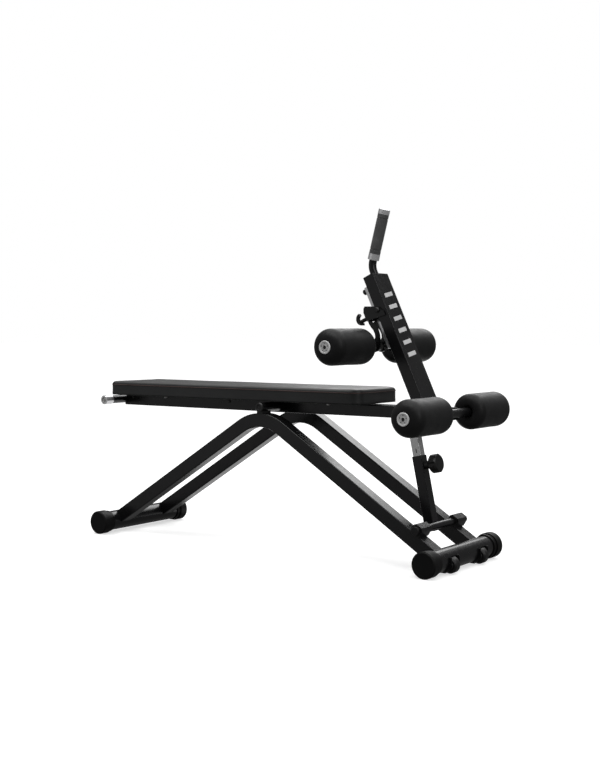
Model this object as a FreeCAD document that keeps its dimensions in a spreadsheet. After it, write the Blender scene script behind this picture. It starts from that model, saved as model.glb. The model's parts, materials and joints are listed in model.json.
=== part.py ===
"""Adjustable abdominal bench: a tilting pad and post on a fixed four-leg stand.

Millimetres, +Z up, +X towards the roller end, +Y to the left of a person who faces the post.
The origin lies on the floor under the middle of the bench. Three slanted frames hold the rest:
the post frame (Z up the post, X out of its front face), the strut frame (Z up the strut, from
the crossbar's axis) and the leg frame (X down the front leg).
"""
import FreeCAD, Part
import math
import os
import re
import Sketcher

from FreeCAD import Placement, Rotation, Vector

SIZES = {
    # feet
    "foot_front_x": 592.1, "foot_rear_x": -581.7, "foot_z": 36.0, "foot_tube_radius": 30.0,
    "round_wall": 2.0, "foot_length": 384.0, "cap_radius": 36.0, "cap_collar_radius": 33.0,
    "cap_depth": 30.0, "cap_collar_depth": 14.0, "cap_face": 5.0, "cap_edge": 3.0,
    # legs
    "leg_side": 40.0, "leg_wall": 2.0, "leg_corner": 3.0, "leg_angle": 32.1,
    "leg_bend_radius": 130.0, "leg_y": 99.0,
    # transport wheels
    "wheel_x": 613.65, "wheel_z": 24.0, "wheel_y": 81.5, "wheel_radius": 22.0,
    "wheel_width": 26.0, "wheel_pin_radius": 4.0, "window_rear_x": 584.0, "window_top_z": 48.0,
    "window_width": 46.0, "cheek_radius": 36.0, "cheek_thick": 3.0, "fit_gap": 0.05,
    # main pivot
    "pivot_x": 5.2, "pivot_z": 417.3, "pivot_tube_radius": 14.0, "pivot_axle_radius": 8.0,
    "pivot_gap": 2.0, "pivot_cap_thick": 4.0, "pivot_foot_width": 20.0,
    # seat rail
    "rail_width": 50.0, "rail_height": 34.0, "rail_z": 415.5, "rail_wall": 2.0,
    "rail_corner": 3.0, "rear_bar_x": -621.3, "rear_bar_z": 418.0, "rear_bar_radius": 13.0,
    "rear_bar_length": 236.0, "bar_ring_radius": 14.35, "bar_ring_length": 27.0,
    "bar_ring_overhang": 4.0, "rail_screw_radius": 5.0, "rail_screw_front_x": -184.0,
    "rail_screw_rear_x": -585.0, "rail_screw_z": 424.0,
    # pad
    "pad_rear_x": -604.7, "pad_length": 944.7, "pad_width": 222.0, "pad_bottom_z": 436.5,
    "pad_board_thick": 12.0, "pad_thick": 44.0, "pad_front_corner": 30.0, "pad_rear_corner": 11.0,
    "pad_edge": 9.0, "pad_inset": 6.0, "pad_plate_length": 60.0, "pad_plate_width": 130.0,
    "pad_plate_corner": 8.0, "pad_plate_front_x": 200.0, "pad_plate_rear_x": -420.0,
    "pad_bolt_radius": 4.0, "pad_bolt_y": 50.0,
    # post
    "post_x": 394.0, "post_z": 600.0, "post_lean": 25.0, "post_depth": 34.7,
    "post_width": 81.6, "post_wall": 2.0, "post_corner": 3.0, "post_top": 200.0,
    "post_tail": 215.0, "post_cap_thick": 3.5,
    # handle on the post's top
    "handle_radius": 11.0, "handle_wall": 2.0, "handle_offset": 17.35, "handle_rise": 16.0,
    "handle_bend_radius": 45.0, "handle_bend": 39.8, "handle_root": 30.0,
    "grip_radius": 15.8, "grip_length": 112.0, "collar_radius": 16.1, "collar_length": 18.0,
    "top_collar_length": 15.0, "handle_below_grip": 3.0,
    # guide bar behind the post
    "guide_side": 20.0, "guide_wall": 2.0, "guide_corner": 1.5, "guide_gap": 5.0,
    "guide_top": 186.0, "guide_bottom": 0.0, "guide_bolt_top": 177.0,
    "guide_bolt_bottom": 10.0, "guide_bolt_radius": 5.0, "bolt_head_radius": 8.0,
    "bolt_head_height": 11.5,
    # upper roller carriage
    "carriage_low": 79.0, "carriage_high": 129.0, "carriage_back": 36.0,
    "carriage_front": 26.0, "plate_thick": 3.0, "side_gap": 1.2, "slide_low": 88.0,
    "slide_high": 120.0, "sleeve_gap": 0.3, "sleeve_wall": 2.5, "arm_thick": 5.0,
    "arm_y": 17.0, "arm_back": 47.0, "arm_waist": 41.0, "arm_front": 27.0,
    "arm_eye_radius": 17.0, "axle_n": -56.2, "axle_u": 21.7, "axle_radius": 12.5,
    "axle_wall": 2.0, "carriage_bolt_n": 9.0, "carriage_bolt_u": 102.0,
    "carriage_bolt_radius": 7.0, "carriage_bolt_height": 5.5,
    # pull pin of the carriage
    "plunger_u": 107.0, "plunger_radius": 8.0, "plunger_length": 20.0, "pin_radius": 4.0,
    "pin_length": 20.0, "neck_radius": 5.5, "neck_length": 28.0, "bow_radius": 18.0,
    "bow_thick": 6.5, "bow_width": 12.0, "bow_centre": 72.0, "bow_rise": 5.5,
    "bow_sweep": 80.0,
    # foam rollers
    "roller_radius": 50.0, "roller_outer_y": 262.0, "roller_length": 187.0,
    "roller_shoulder": 28.0, "roller_gap": 0.3, "hub_radius": 17.7, "hub_thick": 2.6,
    "hub_plug": 16.0, "hub_clearance": 0.6, "lower_axle_x": 573.6, "lower_axle_z": 416.6,
    # crossbar and strut
    "saddle_slope": 90.5, "saddle_height": 32.0, "crossbar_radius": 10.0,
    "crossbar_length": 262.0, "crossbar_cap_radius": 12.3, "crossbar_cap_face": 2.5,
    "crossbar_cap_depth": 3.0, "saddle_length": 31.0, "saddle_width": 52.0,
    "saddle_wall": 3.0, "saddle_top": 16.0, "bush_radius": 11.7, "bush_flange": 14.5,
    "bush_flange_thick": 2.5, "strut_tilt": 12.0, "strut_offset": 25.3, "sleeve_side": 30.0,
    "sleeve_bottom": -14.0, "sleeve_top": 194.5, "strut_side": 25.0, "strut_wall": 2.0,
    "strut_corner": 2.0, "strut_bottom": 14.0, "hole_pitch": 28.0, "hole_radius": 5.0,
    # open pivot at the strut's top
    "strut_eye": 281.0, "strut_above_eye": 11.0, "strut_pin_radius": 4.0,
    "strut_eye_radius": 9.0, "clevis_gap": 1.0, "clevis_length": 34.0, "clevis_below": 12.0,
    # strut pull pin
    "knob_height": 166.0, "boss_radius": 11.0, "boss_length": 14.0, "knob_radius": 26.5,
    "knob_thick": 24.0, "knob_lobe_radius": 7.0, "knob_lobe_centre": 29.5, "knob_neck": 9.0,
    "knob_neck_length": 6.5, "knob_edge": 4.0, "nose_gap": 0.4, "spring_radius": 6.5,
    "spring_gap": 0.4,
}

KNOB_LOBES = 8
STRUT_HOLES = 5
QUARTER_TURN = math.pi / 2
SLOPES = {"post": "-post_lean", "strut": "-strut_tilt", "leg": "leg_angle"}

document = FreeCAD.newDocument("Bench")
parts = {}


# ---- sheet and formulas -------------------------------------------------------------------

def make_sheet():
    """Write the driving dimensions into a spreadsheet with one alias per size."""
    sheet = document.addObject("Spreadsheet::Sheet", "Sizes")
    for row, (name, size) in enumerate(SIZES.items(), start=1):
        sheet.set(f"A{row}", name)
        sheet.set(f"B{row}", str(size))
        sheet.setAlias(f"B{row}", name)
    document.recompute()
    return sheet


def formula(text):
    """Point every size named in a formula at its cell in the sheet."""
    return re.sub(r"[a-z_]+", lambda word: f"Sizes.{word[0]}" if word[0] in SIZES else word[0], text)


def value(text):
    """Work out a formula as a plain number."""
    result = sizes.evalExpression(formula(text))
    return float(getattr(result, "Value", result))


def bind(item, **properties):
    """Bind properties of an object to formulas."""
    for name, text in properties.items():
        item.setExpression(name, formula(text))


# ---- places -------------------------------------------------------------------------------

def place(item, x="0", y="0", z="0", turn=None):
    """Bind an object's position, and its slope about the Y axis, to formulas."""
    if turn:
        item.Placement = Placement(Vector(), Rotation(Vector(0, 1, 0), 1))
        item.setExpression("Placement.Rotation.Angle", formula(f"({turn}) * 1 deg"))
    for letter, text in (("x", x), ("y", y), ("z", z)):
        item.setExpression(f"Placement.Base.{letter}", formula(text))
    return item


def on_post(item):
    """Stand an object drawn in the post frame on the post."""
    return place(item, x="post_x", z="post_z", turn=SLOPES["post"])


def crossbar_x():
    """X of the crossbar's axis, up the front leg from the foot."""
    return "foot_front_x - saddle_slope * cos(leg_angle) + saddle_height * sin(leg_angle)"


def crossbar_z():
    """Z of the crossbar's axis, above the front leg's centre line."""
    return "foot_z + saddle_slope * sin(leg_angle) + saddle_height * cos(leg_angle)"


def on_strut(item):
    """Stand an object drawn in the strut frame on the crossbar."""
    return place(item, x=crossbar_x(), z=crossbar_z(), turn=SLOPES["strut"])


def keep(name, item):
    """Name a finished sub-part; its name is also its file's name."""
    item.Label = name
    parts[name] = item
    return item


# ---- sketches and features ----------------------------------------------------------------

def new_body(name):
    """Start a PartDesign body."""
    return document.addObject("PartDesign::Body", f"{name}_body")


def new_sketch(body, plane):
    """Attach a sketch to one of the body's own origin planes."""
    sketch = body.newObject("Sketcher::SketchObject", f"{body.Name}_sketch")
    support = next(item for item in body.Origin.OriginFeatures if item.Role == plane)
    sketch.AttachmentSupport = [(support, "")]
    sketch.MapMode = "FlatFace"
    return sketch


def pin_point(sketch, edge, end, x, y):
    """Tie one end of an edge to a pair of formulas measured from the sketch's origin."""
    for kind, text in (("DistanceX", x), ("DistanceY", y)):
        index = sketch.addConstraint(Sketcher.Constraint(kind, -1, 1, edge, end, value(text)))
        sketch.setExpression(f"Constraints[{index}]", formula(text))


def draw_polygon(sketch, points):
    """Draw a closed polygon whose corners are pairs of formulas."""
    corners = [Vector(value(x), value(y), 0) for x, y in points]
    first = sketch.GeometryCount
    for start, end in zip(corners, corners[1:] + corners[:1]):
        sketch.addGeometry(Part.LineSegment(start, end), False)
    count = len(corners)
    for step in range(count):
        edge, following = first + step, first + (step + 1) % count
        sketch.addConstraint(Sketcher.Constraint("Coincident", edge, 2, following, 1))
    for step, (x, y) in enumerate(points):
        pin_point(sketch, first + step, 1, x, y)


def draw_circle(sketch, x, y, radius):
    """Draw a circle from formulas for its centre and radius."""
    centre = Vector(value(x), value(y), 0)
    edge = sketch.addGeometry(Part.Circle(centre, Vector(0, 0, 1), value(radius)), False)
    pin_point(sketch, edge, 3, x, y)
    index = sketch.addConstraint(Sketcher.Constraint("Radius", edge, value(radius)))
    sketch.setExpression(f"Constraints[{index}]", formula(radius))


def draw_rounded_box(sketch, width, height, radius, x="0", y="0", low_radius=None):
    """Draw a rectangle about (x, y), with its own corner radius at the low-X end if given."""
    mid_x, mid_y = value(x), value(y)
    half_w, half_h = value(width) / 2, value(height) / 2
    first = sketch.GeometryCount
    signs = ((1, -1), (1, 1), (-1, 1), (-1, -1))
    for quarter, (sign_x, sign_y) in enumerate(signs):
        corner = value(low_radius) if low_radius and sign_x < 0 else value(radius)
        centre = Vector(mid_x + sign_x * (half_w - corner), mid_y + sign_y * (half_h - corner), 0)
        start = (quarter - 1) * QUARTER_TURN
        circle = Part.Circle(centre, Vector(0, 0, 1), corner)
        sketch.addGeometry(Part.ArcOfCircle(circle, start, start + QUARTER_TURN), False)
    for quarter in range(4):
        start = sketch.getPoint(first + quarter, 2)
        end = sketch.getPoint(first + (quarter + 1) % 4, 1)
        line = sketch.addGeometry(Part.LineSegment(start, end), False)
        sketch.addConstraint(Sketcher.Constraint("Tangent", first + quarter, 2, line, 1))
        sketch.addConstraint(Sketcher.Constraint("Tangent", line, 2, first + (quarter + 1) % 4, 1))
    right, top, left, bottom = (first + 4 + side for side in range(4))
    for line in (right, left):
        sketch.addConstraint(Sketcher.Constraint("Vertical", line))
    for line in (top, bottom):
        sketch.addConstraint(Sketcher.Constraint("Horizontal", line))
    for quarter in (0, 2):
        sketch.addConstraint(Sketcher.Constraint("Equal", first + quarter, first + quarter + 1))
    for quarter, text in ((0, radius), (2, low_radius or radius)):
        index = sketch.addConstraint(Sketcher.Constraint("Radius", first + quarter, value(text)))
        sketch.setExpression(f"Constraints[{index}]", formula(text))
    sides = (
        ("DistanceX", right, f"{x} + ({width}) / 2"), ("DistanceX", left, f"{x} - ({width}) / 2"),
        ("DistanceY", top, f"{y} + ({height}) / 2"), ("DistanceY", bottom, f"{y} - ({height}) / 2"))
    for kind, line, text in sides:
        index = sketch.addConstraint(Sketcher.Constraint(kind, -1, 1, line, 1, value(text)))
        sketch.setExpression(f"Constraints[{index}]", formula(text))


def pad(body, sketch, length, both_ways=True):
    """Extrude a sketch, by default half to each side of its plane."""
    feature = body.newObject("PartDesign::Pad", f"{body.Name}_pad")
    feature.Profile = sketch
    feature.SideType = "Symmetric" if both_ways else "One side"
    bind(feature, Length=length)
    body.Tip = feature
    return feature


def pad_between(body, sketch, low, high):
    """Extrude a sketch from one level to another, measured from its plane."""
    feature = pad(body, sketch, high, both_ways=False)
    feature.SideType = "Two sides"
    feature.Type2 = 0
    bind(feature, Length2=f"-({low})")
    return feature


def pocket(body, sketch, length="500"):
    """Cut a sketch through the body, equally to both sides of its plane."""
    feature = body.newObject("PartDesign::Pocket", f"{body.Name}_pocket")
    feature.Profile = sketch
    feature.SideType = "Symmetric"
    bind(feature, Length=length)
    body.Tip = feature
    return feature


def revolve(body, sketch, axis):
    """Turn a sketch once about one of its own axes."""
    feature = body.newObject("PartDesign::Revolution", f"{body.Name}_turn")
    feature.Profile = sketch
    feature.ReferenceAxis = (sketch, [axis])
    feature.Angle = 360
    body.Tip = feature
    return feature


def turned(name, along, points):
    """Turn a half section; each point is (place along the axis, radius)."""
    body = new_body(name)
    if along == "Y":
        sketch = new_sketch(body, "YZ_Plane")
        draw_polygon(sketch, points)
        revolve(body, sketch, "H_Axis")
    elif along == "X":
        sketch = new_sketch(body, "XZ_Plane")
        draw_polygon(sketch, points)
        revolve(body, sketch, "H_Axis")
    else:
        sketch = new_sketch(body, "XZ_Plane")
        draw_polygon(sketch, [(radius, height) for height, radius in points])
        revolve(body, sketch, "V_Axis")
    return body


def round_tube(name, along, start, end, radius, wall):
    """Make a straight round tube along an axis of its own frame."""
    bore = f"{radius} - ({wall})"
    return turned(name, along, [(start, bore), (end, bore), (end, radius), (start, radius)])


def solid_rod(name, along, start, end, radius):
    """Make a straight round bar along an axis of its own frame."""
    return turned(name, along, [(start, "0"), (end, "0"), (end, radius), (start, radius)])


def plate(name, plane, points, thickness):
    """Extrude a polygon half to each side of a plane."""
    body = new_body(name)
    sketch = new_sketch(body, plane)
    draw_polygon(sketch, points)
    pad(body, sketch, thickness)
    return body


def arc_points(centre, radius, start, end, steps):
    """Give points along an arc, from formulas for its centre, its radius and its two angles."""
    x, y = centre
    points = []
    for step in range(steps + 1):
        angle = f"(({start}) + ({end} - ({start})) * {step} / {steps})"
        points.append((f"{x} + ({radius}) * cos({angle})", f"{y} + ({radius}) * sin({angle})"))
    return points


def box_points(x_low, x_high, y_low, y_high):
    """Give the corners of a rectangle from formulas for its sides."""
    return [(x_low, y_low), (x_high, y_low), (x_high, y_high), (x_low, y_high)]


def cut_plate(body, plane, points, length="500"):
    """Cut a polygon through a body."""
    sketch = new_sketch(body, plane)
    draw_polygon(sketch, points)
    pocket(body, sketch, length)


def cut_holes(body, plane, centres, radius, length="500"):
    """Cut round holes through a body."""
    sketch = new_sketch(body, plane)
    for x, y in centres:
        draw_circle(sketch, x, y, radius)
    pocket(body, sketch, length)


def soften(body, test, radius, kind="Fillet"):
    """Round or chamfer the edges of the body's tip that pass a test."""
    document.recompute()
    tip = body.Tip
    names = [f"Edge{number}" for number, edge in enumerate(tip.Shape.Edges, start=1) if test(edge)]
    feature = body.newObject(f"PartDesign::{kind}", f"{body.Name}_{kind.lower()}")
    feature.Base = (tip, names)
    bind(feature, **{"Radius" if kind == "Fillet" else "Size": radius})
    body.Tip = feature
    return feature


def mirrored(name, source):
    """Make the left-hand twin of a right-hand sub-part."""
    twin = document.addObject("Part::Mirroring", f"{name}_mirror")
    twin.Source = source
    twin.Normal = Vector(0, 1, 0)
    return twin


def group(name, members):
    """Put separate identical solids in one node."""
    gathered = document.addObject("Part::Compound", f"{name}_group")
    gathered.Links = members
    return keep(name, gathered)


def pair(name, body):
    """Put a piece and its mirror image in one node."""
    return group(name, [body, mirrored(name, body)])


def cut(name, base, tool):
    """Cut one shape with another."""
    result = document.addObject("Part::Cut", f"{name}_cut")
    result.Base = base
    result.Tool = tool
    return result


# ---- stand --------------------------------------------------------------------------------

def foot_tube(name, x):
    """Make a round foot tube across the bench."""
    end = "foot_length / 2 - cap_face"
    return place(round_tube(name, "Y", f"-({end})", end, "foot_tube_radius", "round_wall"),
                 x=x, z="foot_z")


def make_foot_tubes():
    """Make both foot tubes; the front one has a window for each transport wheel."""
    keep("rear_foot_tube", foot_tube("rear_foot_tube", "foot_rear_x"))
    front = foot_tube("front_foot_tube", "foot_front_x")
    for side in ("", "-"):
        sketch = new_sketch(front, "XY_Plane")
        draw_polygon(sketch, box_points(
            "window_rear_x - foot_front_x", "foot_tube_radius + 10",
            f"{side}(wheel_y - window_width / 2)", f"{side}(wheel_y + window_width / 2)"))
        window = pocket(front, sketch)
        window.SideType = "Two sides"
        window.Type2 = 0
        bind(window, Length="foot_tube_radius + 10", Length2="window_top_z - foot_z")
    keep("front_foot_tube", front)


def make_foot_caps():
    """Make the rubber caps, in pairs: a face, a thick rim and a slimmer collar."""
    face = "foot_length / 2"
    for name, x in (("rear_foot_caps", "foot_rear_x"), ("front_foot_caps", "foot_front_x")):
        body = turned(name, "Y", [
            (f"-({face})", "0"), (f"-({face} - cap_face)", "0"),
            (f"-({face} - cap_face)", "foot_tube_radius"),
            (f"-({face} - cap_depth - cap_collar_depth)", "foot_tube_radius"),
            (f"-({face} - cap_depth - cap_collar_depth)", "cap_collar_radius"),
            (f"-({face} - cap_depth)", "cap_collar_radius"),
            (f"-({face} - cap_depth)", "cap_radius"),
            (f"-({face} - cap_edge)", "cap_radius"),
            (f"-({face})", "cap_radius - cap_edge")])
        pair(name, place(body, x=x, z="foot_z"))


def leg_path(sketch):
    """Draw a leg's centre line: straight, one bend at the apex, straight."""
    rise = value("leg_angle")
    radius = value("leg_bend_radius")
    run = "(foot_front_x - foot_rear_x) / 2 / cos(leg_angle) - leg_bend_radius * tan(leg_angle)"
    length = value(run)
    first = sketch.addGeometry(Part.LineSegment(Vector(0, 0, 0), Vector(length, 0, 0)), False)
    circle = Part.Circle(Vector(length, -radius, 0), Vector(0, 0, 1), radius)
    down = QUARTER_TURN - math.radians(2 * rise)
    bend = sketch.addGeometry(Part.ArcOfCircle(circle, down, QUARTER_TURN), False)
    start = sketch.getPoint(bend, 1)
    heading = Rotation(Vector(0, 0, 1), -2 * rise).multVec(Vector(length, 0, 0))
    last = sketch.addGeometry(Part.LineSegment(start, start + heading), False)
    pin_point(sketch, first, 1, "0", "0")
    sketch.addConstraint(Sketcher.Constraint("Horizontal", first))
    sketch.addConstraint(Sketcher.Constraint("Tangent", first, 2, bend, 2))
    sketch.addConstraint(Sketcher.Constraint("Tangent", bend, 1, last, 1))
    for kind, edge, text in (("Distance", first, run), ("Radius", bend, "leg_bend_radius")):
        index = sketch.addConstraint(Sketcher.Constraint(kind, edge, value(text)))
        sketch.setExpression(f"Constraints[{index}]", formula(text))
    sketch.addConstraint(Sketcher.Constraint("Equal", first, last))
    index = sketch.addConstraint(Sketcher.Constraint("Angle", last, math.radians(-2 * rise)))
    sketch.setExpression(f"Constraints[{index}]", formula("-2 * leg_angle * 1 deg"))


def make_legs():
    """Sweep each bent leg tube and cope its ends to the foot tubes."""
    body = new_body("right_leg")
    path = new_sketch(body, "XZ_Plane")
    leg_path(path)
    section = new_sketch(body, "YZ_Plane")
    draw_rounded_box(section, "leg_side", "leg_side", "leg_corner")
    draw_rounded_box(section, "leg_side - 2 * leg_wall", "leg_side - 2 * leg_wall",
                     "leg_corner - leg_wall + 0.5")
    sweep = body.newObject("PartDesign::AdditivePipe", "right_leg_sweep")
    sweep.Profile = section
    sweep.Spine = (path, ["Edge1", "Edge2", "Edge3"])
    body.Tip = sweep
    span = "(foot_front_x - foot_rear_x)"
    front_foot = (f"{span} * cos(leg_angle)", f"-{span} * sin(leg_angle)")
    cut_holes(body, "XZ_Plane", [("0", "0"), front_foot], "foot_tube_radius")
    place(body, x="foot_rear_x", y="-leg_y", z="foot_z", turn="-leg_angle")
    keep("right_leg", body)
    keep("left_leg", mirrored("left_leg", body))


def leg_top():
    """Height of the legs' upper face at the bend, as a formula."""
    peak = "foot_z + (foot_front_x - foot_rear_x) / 2 * tan(leg_angle)"
    return f"({peak} - leg_bend_radius * (1 / cos(leg_angle) - 1) + leg_side / 2)"


def make_main_pivot():
    """Make the stub tubes on the legs, the axle through them, its end caps and washers."""
    outer = "leg_y + leg_side / 2"
    inner = "rail_width / 2 + pivot_gap"
    stub = round_tube("pivot_stub", "Y", f"-({outer})", f"-({inner})", "pivot_tube_radius",
                      "pivot_tube_radius - pivot_axle_radius")
    foot = new_sketch(stub, "XY_Plane")
    draw_polygon(foot, box_points("-pivot_foot_width / 2", "pivot_foot_width / 2",
                                  f"-({outer})", "-(leg_y - leg_side / 2)"))
    block = pad(stub, foot, f"pivot_z - {leg_top()} + 1", both_ways=False)
    block.Reversed = True
    cut_holes(stub, "XZ_Plane", [("0", "0")], "pivot_axle_radius")
    place(stub, x="pivot_x", z="pivot_z")
    coped = cut("pivot_stub", stub, parts["right_leg"])
    pair("pivot_stub_tubes", coped)
    axle = solid_rod("pivot_axle", "Y", f"-({outer})", outer, "pivot_axle_radius")
    keep("pivot_axle", place(axle, x="pivot_x", z="pivot_z"))
    cap = turned("pivot_end_cap", "Y", [
        (f"-({outer})", "0"), (f"-({outer})", "pivot_tube_radius"),
        (f"-({outer} + pivot_cap_thick / 2)", "pivot_tube_radius"),
        (f"-({outer} + pivot_cap_thick)", "pivot_tube_radius - 2"),
        (f"-({outer} + pivot_cap_thick)", "pivot_tube_radius - 6"),
        (f"-({outer} + pivot_cap_thick / 2)", "pivot_tube_radius - 7"),
        (f"-({outer} + pivot_cap_thick / 2)", "0")])
    pair("pivot_end_caps", place(cap, x="pivot_x", z="pivot_z"))
    washer = turned("pivot_washer", "Y", [
        ("-rail_width / 2 - pivot_gap", "pivot_axle_radius"),
        ("-rail_width / 2 - 0.3", "pivot_axle_radius"),
        ("-rail_width / 2 - 0.3", "pivot_tube_radius"),
        ("-rail_width / 2 - pivot_gap", "pivot_tube_radius")])
    pair("pivot_washers", place(washer, x="pivot_x", z="pivot_z"))


def make_wheel_brackets():
    """Make the brackets in the foot tube's windows: two cheeks joined by a web."""
    disc = solid_rod("wheel_bracket", "Y", "-window_width / 2", "window_width / 2", "cheek_radius")
    reach = "cheek_radius + 10"
    rear = "window_rear_x - foot_front_x"
    high = "window_top_z - foot_z"
    low = "-foot_tube_radius - 2"
    outside = "window_width + 10"
    cut_plate(disc, "XZ_Plane", box_points(f"-({reach})", rear, f"-({reach})", reach), outside)
    cut_plate(disc, "XZ_Plane", box_points(f"-({reach})", reach, high, reach), outside)
    cut_plate(disc, "XZ_Plane", box_points(f"-({reach})", reach, f"-({reach})", low), outside)
    cut_plate(disc, "XZ_Plane", box_points(f"{rear} + cheek_thick", reach, f"-({reach})", reach),
              "window_width - 2 * cheek_thick")
    cut_holes(disc, "XZ_Plane", [("wheel_x - foot_front_x", "wheel_z - foot_z")], "wheel_pin_radius")
    pair("wheel_brackets", place(disc, x="foot_front_x", y="-wheel_y", z="foot_z"))


def make_wheels():
    """Make the transport wheels and the pins they turn on."""
    half = "wheel_width / 2"
    bore = "wheel_pin_radius + fit_gap"
    wheel = turned("right_transport_wheel", "Y", [
        (f"-{half}", bore), (f"{half}", bore), (f"{half}", "wheel_radius - 12"),
        (f"{half} - 2", "wheel_radius - 10"), (f"{half} - 2", "wheel_radius - 6"),
        (f"{half}", "wheel_radius - 4"), (f"{half} - 4", "wheel_radius"),
        (f"-{half} + 4", "wheel_radius"), (f"-{half}", "wheel_radius - 4"),
        (f"-{half} + 2", "wheel_radius - 6"), (f"-{half} + 2", "wheel_radius - 10"),
        (f"-{half}", "wheel_radius - 12")])
    place(wheel, x="wheel_x", y="-wheel_y", z="wheel_z")
    keep("right_transport_wheel", wheel)
    keep("left_transport_wheel", mirrored("left_transport_wheel", wheel))
    pin = solid_rod("wheel_pin", "Y", "-window_width / 2", "window_width / 2", "wheel_pin_radius")
    pair("wheel_pins", place(pin, x="wheel_x", y="-wheel_y", z="wheel_z"))


def make_saddles():
    """Make the strap saddles on the front legs and the flanged bushes inside them."""
    half = "saddle_length / 2"
    inner = f"{half} - saddle_wall"
    top = "saddle_top"
    foot = "-(saddle_height - leg_side / 2)"
    saddle = plate("strut_saddle", "XZ_Plane", [
        (f"-({half})", foot), (f"-({inner})", foot), (f"-({inner})", f"{top} - 7"),
        (f"-({inner}) + 4", f"{top} - saddle_wall"), (f"{inner} - 4", f"{top} - saddle_wall"),
        (f"{inner}", f"{top} - 7"), (f"{inner}", foot), (half, foot), (half, f"{top} - 6"),
        (f"{half} - 6", top), (f"-({half}) + 6", top), (f"-({half})", f"{top} - 6")], "saddle_width")
    place(saddle, x=crossbar_x(), y="-leg_y", z=crossbar_z(), turn=SLOPES["leg"])
    pair("strut_saddles", saddle)
    side = "saddle_width / 2"
    flange = f"{side} + bush_flange_thick"
    bore = "crossbar_radius + fit_gap"
    bush = turned("crossbar_bush", "Y", [
        (f"-({flange})", bore), (flange, bore), (flange, "bush_flange"), (side, "bush_flange"),
        (side, "bush_radius"), (f"-({side})", "bush_radius"), (f"-({side})", "bush_flange"),
        (f"-({flange})", "bush_flange")])
    pair("crossbar_bushes", place(bush, x=crossbar_x(), y="-leg_y", z=crossbar_z()))


# ---- seat rail and pad ----------------------------------------------------------------------

def make_rail():
    """Make the rail with its ends coped to the cross tubes and a bore for the pivot bush."""
    body = new_body("seat_rail")
    section = new_sketch(body, "YZ_Plane")
    draw_rounded_box(section, "rail_width", "rail_height", "rail_corner")
    draw_rounded_box(section, "rail_width - 2 * rail_wall", "rail_height - 2 * rail_wall",
                     "rail_corner - rail_wall + 0.5")
    pad_between(body, section, "rear_bar_x", "lower_axle_x")
    bush_radius = "pivot_tube_radius - 1"
    cut_holes(body, "XZ_Plane", [("rear_bar_x", "rear_bar_z - rail_z")], "rear_bar_radius")
    cut_holes(body, "XZ_Plane", [("lower_axle_x", "lower_axle_z - rail_z")], "axle_radius")
    cut_holes(body, "XZ_Plane", [("pivot_x", "pivot_z - rail_z")], bush_radius)
    for start, end in (("rear_bar_x - 30", "rear_bar_x"), ("lower_axle_x", "lower_axle_x + 30")):
        cut_plate(body, "XZ_Plane", box_points(start, end, "-rail_height", "rail_height"))
    keep("seat_rail", place(body, z="rail_z"))
    bush = round_tube("rail_pivot_bush", "Y", "-rail_width / 2", "rail_width / 2", bush_radius,
                      f"{bush_radius} - pivot_axle_radius - fit_gap")
    keep("rail_pivot_bush", place(bush, x="pivot_x", z="pivot_z"))


def make_rear_handle():
    """Make the cross bar at the rail's rear end, with a bright sleeve on each end."""
    half = "rear_bar_length / 2"
    bar = round_tube("rear_handlebar", "Y", f"-{half}", half, "rear_bar_radius", "round_wall")
    keep("rear_handlebar", place(bar, x="rear_bar_x", z="rear_bar_z"))
    ring = turned("handlebar_ring", "Y", [
        (f"-({half} + bar_ring_overhang)", "rear_bar_radius - 4"), (f"-({half})", "rear_bar_radius - 4"),
        (f"-({half})", "rear_bar_radius"), (f"-({half} - bar_ring_length)", "rear_bar_radius"),
        (f"-({half} - bar_ring_length)", "bar_ring_radius"),
        (f"-({half} + bar_ring_overhang - 1)", "bar_ring_radius"),
        (f"-({half} + bar_ring_overhang)", "bar_ring_radius - 1")])
    pair("handlebar_rings", place(ring, x="rear_bar_x", z="rear_bar_z"))


def make_rail_screws():
    """Make the button screws that close the rail's two inner cross sleeves."""
    side = "-rail_width / 2"
    members = []
    for label, x in (("front", "rail_screw_front_x"), ("rear", "rail_screw_rear_x")):
        screw = turned(f"rail_screw_{label}", "Y", [
            (side, "0"), (side, "rail_screw_radius"), (f"{side} - 1.5", "rail_screw_radius"),
            (f"{side} - 3", "rail_screw_radius - 2"), (f"{side} - 3", "0")])
        place(screw, x=x, z="rail_screw_z")
        members += [screw, mirrored(f"rail_screw_{label}", screw)]
    group("rail_screws", members)


def pad_outline(sketch, inset="0"):
    """Draw the pad's outline, shrunk by an inset; its rear corners are tighter."""
    draw_rounded_box(sketch, f"pad_length - 2 * ({inset})", f"pad_width - 2 * ({inset})",
                     f"pad_front_corner - ({inset})", low_radius=f"pad_rear_corner - ({inset})")


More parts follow.
